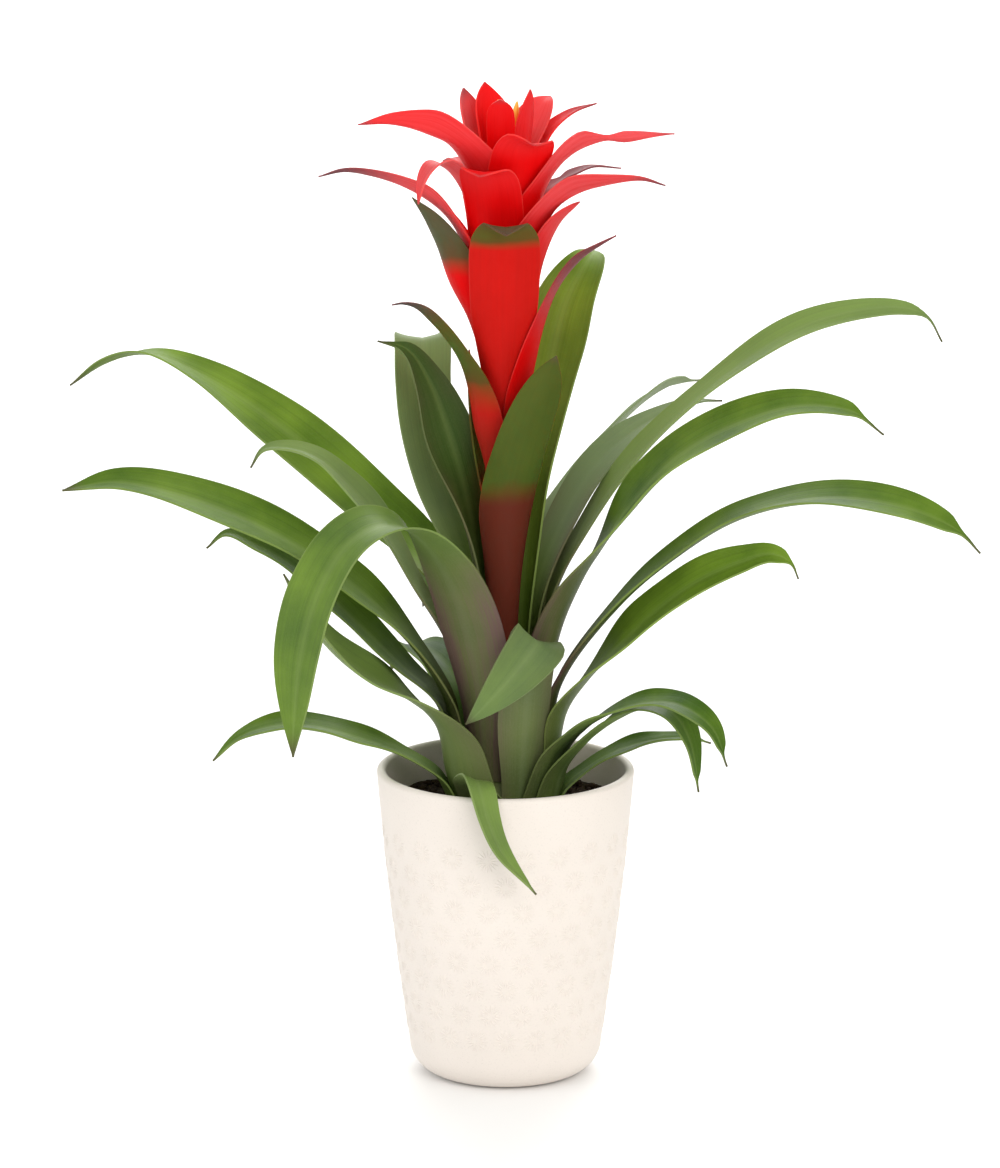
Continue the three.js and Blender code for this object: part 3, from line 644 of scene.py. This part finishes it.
# %% Skin of the bracts
def bract_skin(name, deep, bright, sheen_glow_pink, roughness):
    skin = new_material(name)
    veins, aside, patches, (brown, leafiness, dry, pale) = blade_pattern(skin, 22.0)
    red = add_node(skin, "Mix", {"Factor": patches, "A": deep, "B": bright}, data_type="RGBA")
    veined = add_node(skin, "MapRange", {"Value": veins, "From Min": 0.25, "From Max": 0.75,
        "To Min": 0.6})
    # The paler pink red towards the free ends is painted light: sheen on the lit faces and light
    # glowing through thin tissue.
    sheen_glow_mask = add_node(skin, "Math", {0: pale, 1: veined}, operation="MULTIPLY")
    red = add_node(skin, "Mix", {"Factor": sheen_glow_mask, "A": red, "B": sheen_glow_pink}, data_type="RGBA")
    vein_shade = add_node(skin, "MapRange", {"Value": veins, "From Min": 0.3, "From Max": 0.7,
        "To Min": 0.95, "To Max": 1.03})
    red = add_node(skin, "Mix", {"Factor": 1.0, "A": red, "B": vein_shade}, data_type="RGBA",
        blend_type="MULTIPLY")
    edge = add_node(skin, "MapRange", {"Value": aside, "From Min": 0.482, "From Max": 0.498,
        "To Max": 0.12})
    red = add_node(skin, "Mix", {"Factor": edge, "A": red, "B": "#f4867c"}, data_type="RGBA")
    # The bract's foot is mixed towards brown: its own brown, and painted shade where the feet sit
    # under other bracts.
    foot_brown_and_shade = add_node(skin, "Mix", {"Factor": brown, "A": red, "B": "#682f22"}, data_type="RGBA")
    mottled = add_node(skin, "MapRange", {"Value": patches, "From Min": 0.35, "From Max": 0.65,
        "To Min": -0.28, "To Max": 0.28})
    mottled = add_node(skin, "Math", {0: mottled, 1: leafiness}, operation="MULTIPLY")
    greenness = add_node(skin, "Math", {0: leafiness, 1: mottled}, operation="ADD")
    yellowing = add_node(skin, "MapRange", {"Value": greenness, "From Min": 0.05, "From Max": 0.5})
    zone = add_node(skin, "Mix", {"Factor": yellowing, "A": foot_brown_and_shade, "B": "#5e4a20"},
        data_type="RGBA")
    greening = add_node(skin, "MapRange", {"Value": greenness, "From Min": 0.5, "From Max": 0.95})
    leafy = add_node(skin, "Mix", {"Factor": patches, "A": "#3f4f1e", "B": "#5a6a2a"},
        data_type="RGBA")
    leafy = add_node(skin, "Mix", {"Factor": 1.0, "A": leafy, "B": vein_shade}, data_type="RGBA",
        blend_type="MULTIPLY")
    zone = add_node(skin, "Mix", {"Factor": greening, "A": zone, "B": leafy}, data_type="RGBA")
    colour = add_node(skin, "Mix", {"Factor": dry, "A": zone, "B": "#54454a"}, data_type="RGBA")
    bump = add_node(skin, "Bump", {"Height": veins, "Strength": 0.25, "Distance": 0.0002})
    return output(skin, add_node(skin, "BsdfPrincipled", {"Base Color": colour,
        "Roughness": roughness, "IOR": 1.45, "Specular IOR Level": 0.05, "Subsurface Weight": 0.3,
        "Subsurface Radius": (1.0, 0.06, 0.04), "Subsurface Scale": 0.003, "Normal": bump}))


bract_upper = bract_skin("red_bract_upper_face", "#d60207", "#f2090e", "#d65e60", 0.42)
bract_lower = bract_skin("red_bract_lower_face", "#ca0306", "#e80b0d", "#d46266", 0.48)
print("bract skins:", bract_upper.name, bract_lower.name)

# %% [markdown]
# ## The rosette
# Twenty-six leaves stand in nested sheaths. Each line of the table is one leaf: its tier from
# the inside, the side it points to in degrees, half the angle that its sheath wraps, its width,
# its turn about the midrib half way and at the tip, what is its own, and its midrib as the
# distance from the axis, the height, and the swing away from its side. All of it is in
# millimetres, read off the plant.

# %% The leaves' table
# A leaf's "shade" is its age together with painted light and shade: a lighter or darker green for
# how lit the leaf stands.
leaves = [
    ("leaf_tall_dark", -0.7, 150, 48, 25, (-52, -20),
      {"open": (12, 26), "stain": 0.45, "shade": 0.05, "grey": 0.05, "tail": 0.4},
     [(7.6, 160), (9, 185), (11.8, 206), (17, 232, 2), (24.5, 257, 5), (31, 275, 9),
      (39, 287.5, 13), (50, 291, 17)]),
    ("leaf_tall_right", 0.2, 50, 48, 26, (24, 24),
      {"open": (16, 36), "strap": 0.72, "stain": 0.15, "shade": 0.9},
     [(9.2, 160), (11, 185), (14, 212), (17.3, 235), (22.5, 257), (30.5, 284), (38, 302),
      (48, 314), (60, 318.5, 4), (71, 316, 7)]),
    ("leaf_tall_left", 1.1, 140, 43, 22, (-24, -52),
      {"open": (20, 40), "strap": 0.9, "stain": 0.15, "shade": 1.0, "grey": 0.45, "tail": 0.3},
     [(11, 158), (13.2, 183), (22.5, 209), (33.5, 233, 1), (41, 255, -2), (45.5, 272, -6),
      (49, 281, -10), (55, 285, -15), (62, 282.5, -19), (67, 276, -22)]),
    ("leaf_right_back", 1.1, 32, 42, 20, (10, 10),
      {"stain": 0.6, "shade": 0.8, "grey": 0.6, "tail": 0.4},
     [(11.9, 155), (14.4, 185), (18.6, 200), (26.5, 216), (38.5, 234), (51, 245), (70, 254.5),
      (88, 259), (102, 258)]),
    ("leaf_right_thin", 2, 52, 34, 20, (-38, -38), {"stain": 0.6, "shade": 0.9, "grey": 0.6},
     [(13.6, 155), (16.6, 185), (20.5, 199), (29.5, 213), (46, 229), (64, 242), (90, 254),
      (110, 258), (131, 256)]),
    ("leaf_left_high", 2, 147, 44, 26, (-32, 20), {"stain": 0.45, "shade": 0.75, "tail": 0},
     [(13, 148), (17.5, 172, -3), (26.2, 192, -8.5), (45, 204.5, -8.5), (63, 218, -4),
      (101, 247, 2), (137, 265, 3), (162, 272, 4), (180, 267, 5), (194, 257, 6)]),
    ("leaf_left_curl", 3, 180, 46, 23, (-15, -15),
      {"stain": 0.7, "shade": 0.75, "tail": 0.2, "grey": 0.3},
     [(14.6, 145), (21.3, 172), (34.5, 196), (47, 219), (61, 237), (72, 247), (84, 251), (93, 250),
      (98, 243)]),
    ("leaf_right_high", 3, 8, 44, 20, (4, 60), {"stain": 0.7, "shade": 1.0, "grey": 0.3},
     [(15, 150), (18.2, 185), (23.5, 201), (31, 215), (45, 236.5), (70, 263), (109, 291.5),
      (132, 300), (156, 302), (167, 298), (173, 288)]),
    ("leaf_back_high", 3, 93, 34, 25, (0, 0), {"stain": 0.6, "shade": 0.5, "tail": 0.15},
     [(15, 145), (24, 176), (46, 198), (76, 206), (104, 198), (124, 178)]),
    ("leaf_front_arch", 4, 240, 36, 31, (-24, -44),
      {"strap": 0.66, "stain": 1.3, "shade": 0.5, "tail": 0, "grey": 0.1},
     [(17, 150), (25, 176), (33, 198, -3), (44, 216, -6), (57, 228.5, -9), (71, 232, -12),
      (84, 226, -15), (96, 209, -17), (103.5, 186, -18), (107, 163, -18), (108, 146, -18)]),
    ("leaf_right_broad", 4, 338, 52, 32, (26, 26), {"stain": 0.95, "shade": 0.45},
     [(16.8, 150), (23, 180), (31, 198.5), (40, 213), (53.5, 233), (73, 254), (98, 269),
      (122, 277.5), (143, 277), (156, 269)]),
    ("leaf_back_left", 4, 106, 34, 25, (0, 0), {"stain": 0.5, "shade": 0.4, "tail": 0.15},
     [(17, 140), (27, 166), (50, 182), (78, 186), (102, 177), (118, 160)]),
    ("leaf_left_long", 5, 183, 45, 27, (-20, -20),
      {"stain": 0.55, "shade": 0.5, "tail": 0, "strap": 0.68},
     [(19, 128), (23, 151), (44, 183), (79, 212), (118, 231), (150, 239), (171, 236)]),
    ("leaf_right_long", 5, 352, 33, 25, (4, 32), {"strap": 0.66, "stain": 0.8, "shade": 0.5},
     [(18.6, 128), (22.5, 156), (46, 190), (69, 211), (93, 226.5), (125, 235), (158, 232),
      (178, 223), (186, 215)]),
    ("leaf_front_fold", 6, 292, 24, 22, (-42, -50),
      {"open": (28, 40), "strap": 0.6, "stain": 0.45, "shade": 0.45, "tail": 0, "grey": 0.3},
     [(19.5, 125), (23, 145), (26.5, 163), (33, 181), (39, 182, -2), (44, 173, -15),
      (49, 162, -28), (52, 153, -38)]),
    ("leaf_left_under", 6, 176, 42, 22, (-16, -16), {"stain": 0.3, "shade": 0.4, "tail": 0.2},
     [(20, 122), (26, 149), (40, 163), (56, 179), (79, 200), (95, 210), (108, 215), (116, 209)]),
    ("leaf_right_curl", 6, 343, 26, 29, (26, 50), {"strap": 0.4, "stain": 0.3, "shade": 0.75},
     [(20.5, 122), (25, 146), (34, 160), (48, 176), (64, 192), (80, 204), (96, 212), (108, 216),
      (116, 213), (119, 207)]),
    ("leaf_back_right", 6, 84, 36, 24, (0, 0), {"stain": 0.3, "shade": 0.5, "tail": 0.15},
     [(20, 124), (30, 148), (55, 164), (90, 168), (120, 155), (138, 134)]),
    ("leaf_left_broad", 7, 214, 56, 31, (-34, -34),
      {"strap": 0.68, "stain": 0.4, "shade": 1.0, "tail": 0.3, "grey": 0.25},
     [(22.1, 121), (26.5, 141, -3), (42, 156, -12), (58, 166, -14), (71, 177, -14), (82, 191, -14),
      (90, 208, -14)]),
    ("leaf_right_low", 7, 325, 36, 19, (10, 10), {"stain": 0.3, "shade": 0.25},
     [(21, 116), (27, 133), (37, 143), (51, 152.5), (69, 159), (84, 160), (98, 153), (105, 139)]),
    ("leaf_back_side", 7, 112, 36, 23, (0, 0), {"stain": 0.5, "shade": 0.1, "tail": 0.15},
     [(22, 118), (34, 138), (60, 150), (90, 151), (112, 143), (122, 133)]),
    ("leaf_left_low", 8, 187, 31, 20, (-8, -8), {"stain": 0.05, "shade": 0.5, "tail": 0},
     [(22.5, 113), (27, 121), (41, 130), (56, 136), (72, 141), (88, 142.5), (103, 138.5),
      (114, 129)]),
    ("leaf_right_drop", 8, 333, 32, 18, (8, 8), {"stain": 0.25, "shade": 0.35},
     [(22.6, 114), (26, 125), (36, 137), (50, 148.5), (64, 155), (74, 153), (81, 143), (85, 123)]),
    ("leaf_front_hanging", 8, 248, 30, 12.5, (-8, -30),
      {"stain": 0.3, "shade": 0.9, "tail": 0.3, "grey": 0.25},
     [(22.8, 113), (28, 119), (36, 125), (44, 129, 8), (52, 127.7, 12), (57.5, 117, 16),
      (60, 104, 22), (61.5, 88, 34)]),
    ("leaf_back_low", 8, 96, 32, 22, (0, 0), {"stain": 0.1, "shade": 0.4, "tail": 0.15},
     [(22.5, 112), (32, 125), (55, 136), (82, 134), (104, 118), (113, 102)]),
    ("leaf_right_small", 9, 5, 30, 14, (6, 6), {"stain": 0.05, "shade": 0.3},
     [(23.3, 110), (25.5, 115), (31, 120), (42, 127), (58, 132), (73, 133), (82, 130.5)]),
]

# %% [markdown]
# A leaf has a sheath, a strap of even width and a tip that tapers along a curve. The habit
# holds what most leaves share, and a leaf's own values in the table go before it. The finished
# blade ends in a much finer point than a plain solid could.

# %% Make the leaves
LEAF_ROWS, LEAF_COLUMNS, LEAF_THICKNESS, LEAF_MIDDLE = 84, 14, 0.75, 1.0
INNER_RING, RING_STEP, SHEATH_STRIPS = 8, 1.6, 4
# GREY_STARTS and each leaf's "grey" set the wax film, which is also painted light on shaded
# leaves.
SHEATH_END, LEAF_TIP, DRY_FROM, STAIN_FADES, GREY_STARTS = 0.3, 0.25, 0.95, (22, 52), (12, 30)
LEAF_HABIT = {"open": (22, 58), "channel": 0.22, "crease": 0.35, "ripple": 0.5, "twist": 0,
              "strap": 0.5, "tail": 0.7, "grey": 0}


def strap_width(foot, width, taper_from, tail):
    def half_width(u):
        strap = mix(foot, width / 2, smooth(u, 0, SHEATH_END))
        taper = max(0, (u - taper_from) / (1 - taper_from))
        drip = 1 - tail * smooth(u, 0.925, 0.965)
        return max(LEAF_TIP, strap * (1 - taper * taper) * drip)
    return half_width


# The second tone is the leaf's green level: its age together with painted light and shade.
def leaf_tone(spec):
    def tone(u, x, out, height):
        stain = spec["stain"] * (1 - smooth(out, *STAIN_FADES)) * (0.4 + 0.8 * x * x)
        # The film is wax and also painted light on shaded leaves.
        wax_film_and_light = spec["grey"] * smooth(out, *GREY_STARTS)
        return stain, spec["shade"], 0.8 * smooth(u, DRY_FROM, 1), wax_film_and_light
    return tone


shoulder_slope = (stalk_start - SHOULDER) / (ROOT_RADIUS - stalk_foot)
leaf_draw = random.Random(5)
leaf_length = 0
for name, tier, side, sheath, width, roll, own, midrib in leaves:
    ring = INNER_RING + RING_STEP * tier
    strip = math.radians(sheath / SHEATH_STRIPS)
    inner_face = (ring - LEAF_MIDDLE / 2) * math.cos(strip) - FIT_GAP
    foot = SHOULDER + (ROOT_RADIUS - inner_face) * shoulder_slope
    spec = {**LEAF_HABIT, **own, "side": side, "roll": roll, "midrib": [(ring, foot)] + midrib,
            "waves": leaf_draw.uniform(14, 26), "phase": leaf_draw.uniform(0, 6)}
    spec["half_width"] = strap_width(ring * math.radians(sheath), width, spec["strap"],
                                     spec["tail"])
    spec["tone"] = leaf_tone(spec)
    piece, length = blade(name + "_blade", spec, LEAF_ROWS, LEAF_COLUMNS,
                          (leaf_upper, leaf_lower), LEAF_THICKNESS)
    dress(piece, name, ())
    leaf_length += length
print(len(leaves), "leaves,", round(leaf_length / 1000, 2), "m of blade in all")

# %% [markdown]
# ## The flower stalk's bracts and the head
# Bracts are small leaves. The lowest clasp the stalk and are still green or half green, and
# further up they turn the red of the head. Each line gives the height of its foot, its side,
# half its wrap, its width, where along it is widest, what is its own, and its midrib. "deep",
# "green" and "pale" give two heights and how much of the tone there is: the brown of the foot,
# which is also painted shade where the feet sit under other bracts, fades out between the
# heights, and the green or the paler red fades in. The paler red is painted light: sheen on the
# lit faces and light glowing through the thin free ends. "dark" gives the same for the dry end,
# as shares of the length. "pinch" is where a drying end narrows.

# %% The bracts' table
bracts = [
    ("stalk_bract_front", 150, 272, 80, 27, 0.55,
      {"blunt": 4, "green": (228, 247, 1.3), "deep": (238, 258, 1)},
     [(5.2, 160), (5.6, 178), (7, 200, 2), (10, 222, 10), (14, 240, 20), (18, 255, 28),
      (22, 270, 34), (27, 284, 38), (30, 292, 41)]),
    ("stalk_bract_back", 196, 95, 80, 18, 0.4, {"green": (236, 256, 0.8)},
     [(6.5, 215), (11, 238), (18, 256), (27, 270)]),
    ("stalk_bract_side", 210, 145, 60, 11, 0.4, {"green": (225, 250, 0.8)},
     [(7.6, 230), (11.5, 250), (14.5, 270), (16, 288)]),
    ("stalk_bract_left", 232, 225, 70, 19, 0.3,
      {"green": (262, 292, 0.9), "dark": (0.74, 0.95, 0.85), "deep": (250, 290, 0.6)},
     [(7.5, 247), (11, 260), (13, 273, -5), (16, 284, -12), (21, 293.5, -18), (28, 302.5, -20),
      (35, 309, -20), (42, 311.5, -20), (47, 311.5, -20)]),
    ("stalk_bract_right", 246, 325, 70, 18, 0.3,
      {"pale": (303, 322, 0.6), "dark": (0.42, 0.85, 0.85)},
     [(7.6, 262), (11.4, 280, 4), (15.8, 300, 13), (21.3, 315, 19), (30, 327, 20), (38.5, 333, 20),
      (45, 337, 20)]),
    ("head_bract_front", 254, 272, 75, 29, 0.6,
      {"blunt": 6, "green": (332, 340, 0.75), "deep": (345, 380, 0.26), "dark": (0.9, 1, 0.5)},
     [(9.9, 284), (13.9, 299), (17.9, 312), (21, 325), (24.6, 338), (28.8, 343.5), (33, 341)]),
    ("head_bract_rear", 254, 80, 70, 24, 0.5, {"green": (325, 338, 0.8)},
     [(16.8, 326), (26, 342), (38, 350)]),
    ("head_bract_left", 262, 205, 60, 23, 0.5,
      {"roll": (22, 24), "open": (11, 22), "channel": 0.4, "green": (318, 336, 0.9),
       "dark": (0.6, 0.85, 0.5), "pale": (350, 380, 0.1)},
     [(9.1, 289), (13, 302), (18.3, 316), (23.2, 331, -4), (28.5, 341.5, -9), (35.5, 351, -14)]),
    ("head_bract_right", 262, 345, 60, 25.2, 0.68,
      {"roll": (-10, -10), "channel": 0.35, "pale": (325, 350, 0.5), "blunt": 4},
     [(15.2, 324), (22, 340.5), (30.5, 349.5)]),
    ("head_bract_long_left", 269, 184, 55, 26, 0.4,
      {"blunt": 1.3, "roll": (16, 10), "channel": 0.45, "pale": (325, 355, 0.75),
       "dark": (0.66, 0.95, 0.9)},
     [(13.3, 321), (16.5, 334), (22, 343), (30, 350), (40, 355.5), (51, 358.8, -2), (61, 360, -3),
      (71, 357.8, -4)]),
    ("head_bract_rear_right", 269, 50, 55, 20, 0.4,
      {"pale": (335, 350, 0.3), "dark": (0.34, 0.75, 0.85), "pinch": 0.72},
     [(14.1, 323), (18.2, 340), (24, 348), (37, 352), (53, 354), (72, 351)]),
    ("head_bract_long_right", 276, 335, 58, 34, 0.45,
      {"blunt": 1, "roll": (-14, -10), "channel": 0.45, "pale": (335, 357, 0.65),
       "dark": (0.86, 1, 0.9)},
     [(12.6, 322), (15.8, 337), (20.9, 346.5), (30, 353.5, 3), (42, 357.5, 5), (56, 360, 5),
      (66, 358.5, 5)]),
    ("head_bract_rear_left", 276, 118, 55, 20, 0.45,
      {"pale": (335, 356, 0.6), "dark": (0.85, 1, 0.7)},
     [(12.7, 325), (17.7, 343), (26, 353), (38, 358), (50, 356)]),
    ("head_bract_centre", 283, 254, 65, 25, 0.7, {"blunt": 6, "pale": (350, 364, 0.12)},
     [(12, 330), (14.9, 344), (19.5, 356), (26, 364), (32, 363.4)]),
    ("head_bract_upper_rear", 283, 85, 60, 19, 0.5,
      {"pale": (350, 368, 0.5), "dark": (0.8, 1, 0.6)},
     [(12, 330), (15.4, 346), (21, 360), (30, 368), (40, 369)]),
    ("head_bract_folded", 290, 222, 40, 21, 0.66, {"blunt": 2.2, "pale": (335, 362, 0.9)},
     [(10.4, 330), (12.6, 343), (16.5, 354, -12), (22, 362, -15), (28, 365, -14), (34, 360, -13),
      (37.5, 350.5, -12)]),
    ("head_bract_upper_right", 290, 342, 55, 42, 0.34,
      {"blunt": 0.75, "roll": (-6, -4), "channel": 0.6, "pale": (350, 372, 0.85),
       "dark": (0.93, 1, 0.5), "pinch": 0.79, "twist": -110},
     [(12.1, 337), (15, 350), (20.5, 361, 4), (28, 368.5, 9), (38, 372.5, 14), (46, 373, 17),
      (55, 374, 19), (66, 374, 20)]),
    ("head_bract_upper_left", 304, 226, 50, 40, 0.4,
      {"blunt": 1, "roll": (14, 10), "channel": 0.6, "pale": (350, 380, 0.38),
       "dark": (0.93, 1, 0.6)},
     [(9.5, 338), (11.2, 350), (15, 362.5), (21.5, 372, -7), (32, 378.5, -17), (45, 381.8, -24),
      (58.5, 381.5, -27)]),
    ("head_bract_upper_centre", 297, 296, 55, 27, 0.7,
      {"blunt": 6, "pale": (366, 376, 0.15), "roll": (-2, -14), "open": (13, 26)},
     [(11.2, 341), (13.9, 354), (18.3, 366), (22.5, 374), (28, 374.5)]),
    ("tuft_bract_left", 311, 152, 40, 20, 0.65,
      {"blunt": 4.5, "pale": (345, 365, 0.95), "dark": (0.92, 1, 0.6)},
     [(8.8, 343), (10.4, 357), (13.3, 371), (16, 383), (17.2, 391)]),
    ("tuft_bract_front", 311, 266, 45, 11, 0.75, {"blunt": 9, "pale": (370, 392, 0.1)},
     [(8.4, 341), (9.9, 356), (11.5, 370), (13.2, 382), (15.5, 390.5)]),
    ("head_bract_top_right", 311, 28, 40, 15, 0.5,
      {"pale": (362, 382, 0.1), "dark": (0.72, 1, 0.75)},
     [(9.2, 343), (11.3, 356), (15, 367), (20, 374.5), (29, 380), (41, 383)]),
    ("tuft_bract_right", 317, 52, 34, 20, 0.7, {"blunt": 3, "pale": (352, 376, 0.6)},
     [(7.7, 342), (9.2, 356), (11.9, 367), (18.5, 377), (25, 383.5), (30, 385)]),
    ("tuft_bract_rear", 324, 125, 38, 23, 0.65, {"blunt": 2.6, "pale": (355, 390, 0.12)},
     [(6.3, 342), (7.5, 357), (8.8, 371), (10.5, 384), (12.3, 393)]),
    ("tuft_bract_flower", 317, 326, 34, 12.5, 0.75, {"pale": (350, 380, 0.2), "blunt": 2.6},
     [(7, 342), (8.3, 357), (10.4, 372), (11.8, 384), (12.6, 393)]),
]

# %% Make the bracts
BRACT_ROWS, BRACT_COLUMNS, BRACT_THICKNESS, BRACT_TIP = 56, 14, 0.65, 0.15
BRACT_CLEAR, CONE_SLOPE, CONE_STEP, CONE_STOP = 0.7, 0.18, 15, 9
# A bract's "pale" is painted sheen and light glowing through its thin ends, mixed into the red.
BRACT_HABIT = {"open": (16, 34), "channel": 0.25, "crease": 0.2, "ripple": 0.4, "twist": 0,
               "roll": (0, 0), "blunt": 1.6, "pinch": 9, "green": (0, 1, 0),
               "dark": (0.97, 1, 0.4), "pale": (350, 380, 0.4)}


def bract_width(foot, width, belly, blunt, pinch):
    def half_width(u):
        body = mix(foot, width / 2, smooth(u, 0, belly))
        body *= 1 - 0.72 * smooth(u, pinch - 0.08, pinch) + 0.3 * smooth(u, pinch, pinch + 0.06)
        taper = max(0, (u - belly) / (1 - belly))
        return max(BRACT_TIP, body * (1 - taper ** blunt))
    return half_width


def bract_tone(spec):
    def fade(name, value):
        start, stop, most = spec[name]
        return most * smooth(value, start, stop)

    def tone(u, x, out, height):
        deep = spec["deep"][2] - fade("deep", height)
        return deep, fade("green", height), fade("dark", u), fade("pale", height)
    return tone


bract_draw = random.Random(8)
bract_length = 0
for name, foot, side, wrap, width, belly, own, midrib in bracts:
    ring = stalk_radius(foot) + BRACT_CLEAR
    cone, height = [(ring, foot)], foot + CONE_STEP
    while height < midrib[0][1] - CONE_STOP:
        cone.append((ring + CONE_SLOPE * (height - foot), height))
        height += CONE_STEP
    spec = {**BRACT_HABIT, "deep": (foot, foot + 40, 0.55), **own, "side": side,
            "midrib": cone + midrib, "waves": bract_draw.uniform(10, 18),
            "phase": bract_draw.uniform(0, 6)}
    spec["half_width"] = bract_width(ring * math.radians(wrap), width, belly, spec["blunt"],
                                     spec["pinch"])
    spec["tone"] = bract_tone(spec)
    piece, length = blade(name + "_blade", spec, BRACT_ROWS, BRACT_COLUMNS,
                          (bract_upper, bract_lower), BRACT_THICKNESS)
    bract_length += length
    dress(piece, name, ())
print(len(bracts), "bracts,", round(bract_length / 1000, 2), "m of blade in all")

# %% [markdown]
# ## The flowers
# The true flowers of a guzmania are small and yellow and only just look out of the red tuft.
# Each is a slim turned bud with closed petals, and four stand together on the top of the stalk.
# One of them leans out beside the front bract of the tuft and shows its tip.

# %% Petal material and buds
def petal_skin():
    skin = new_material("yellow_petal")
    place = add_node(skin, "TexCoord").outputs["Object"]
    stretch = add_node(skin, "Mapping", {"Vector": place, "Scale": (1600, 1600, 90)})
    veins = add_node(skin, "TexNoise", {"Vector": stretch, "Scale": 1.0, "Detail": 3.0})
    height = add_node(skin, "SeparateXYZ", {"Vector": place}).outputs["Z"]
    rise = add_node(skin, "MapRange", {"Value": height, "From Min": 0.362, "From Max": 0.376})
    body = add_node(skin, "Mix", {"Factor": rise, "A": "#d9a93c", "B": "#f9c23c"},
        data_type="RGBA")
    colour = add_node(skin, "Mix", {"Factor": veins, "A": body, "B": "#f6d25e"}, data_type="RGBA")
    bump = add_node(skin, "Bump", {"Height": veins, "Strength": 0.3, "Distance": 0.0001})
    return output(skin, add_node(skin, "BsdfPrincipled", {"Base Color": colour, "Roughness": 0.45,
        "IOR": 1.42, "Normal": bump}))


BUD_BEARINGS, BUD_OUT, BUD_RISE, BUD_LEAN = (37, 109, 253, 325), 0.9, 1, 9
bud_profile = [(0.1, 0), (1.1, 0.3), (1.0, 8), (0.95, 16), (1.15, 21), (1.4, 27), (1.35, 30.5),
               (1.1, 33), (0.55, 35.2), (0.08, 36)]
buds = [turned("flower_buds", [(0.1, 0), (1.9, 0.1), (1.9, 6), (1.2, 6.8), (0.1, 7)], 24)]
for bearing in BUD_BEARINGS:
    bud = turned("bud", bud_profile, 18)
    edit_all()
    bpy.ops.transform.translate(value=(mm(BUD_OUT), 0, mm(BUD_RISE)))
    for turn, axis in ((-BUD_LEAN, "Y"), (bearing, "Z")):
        bpy.ops.transform.rotate(value=math.radians(turn), orient_axis=axis,
                                 center_override=(0, 0, 0))
    bpy.ops.object.mode_set(mode="OBJECT")
    buds.append(bud)
flowers = joined(buds)
edit_all()
bpy.ops.transform.translate(value=(mm(AXIS_X), 0, mm(STALK[-1][0] + FIT_GAP)))
bpy.ops.object.mode_set(mode="OBJECT")
dress(flowers, "flowers", [petal_skin()])
print("flowers:", len(flowers.data.polygons), "faces, top at",
      round(max(v.co.z for v in flowers.data.vertices) * 1000, 1), "mm")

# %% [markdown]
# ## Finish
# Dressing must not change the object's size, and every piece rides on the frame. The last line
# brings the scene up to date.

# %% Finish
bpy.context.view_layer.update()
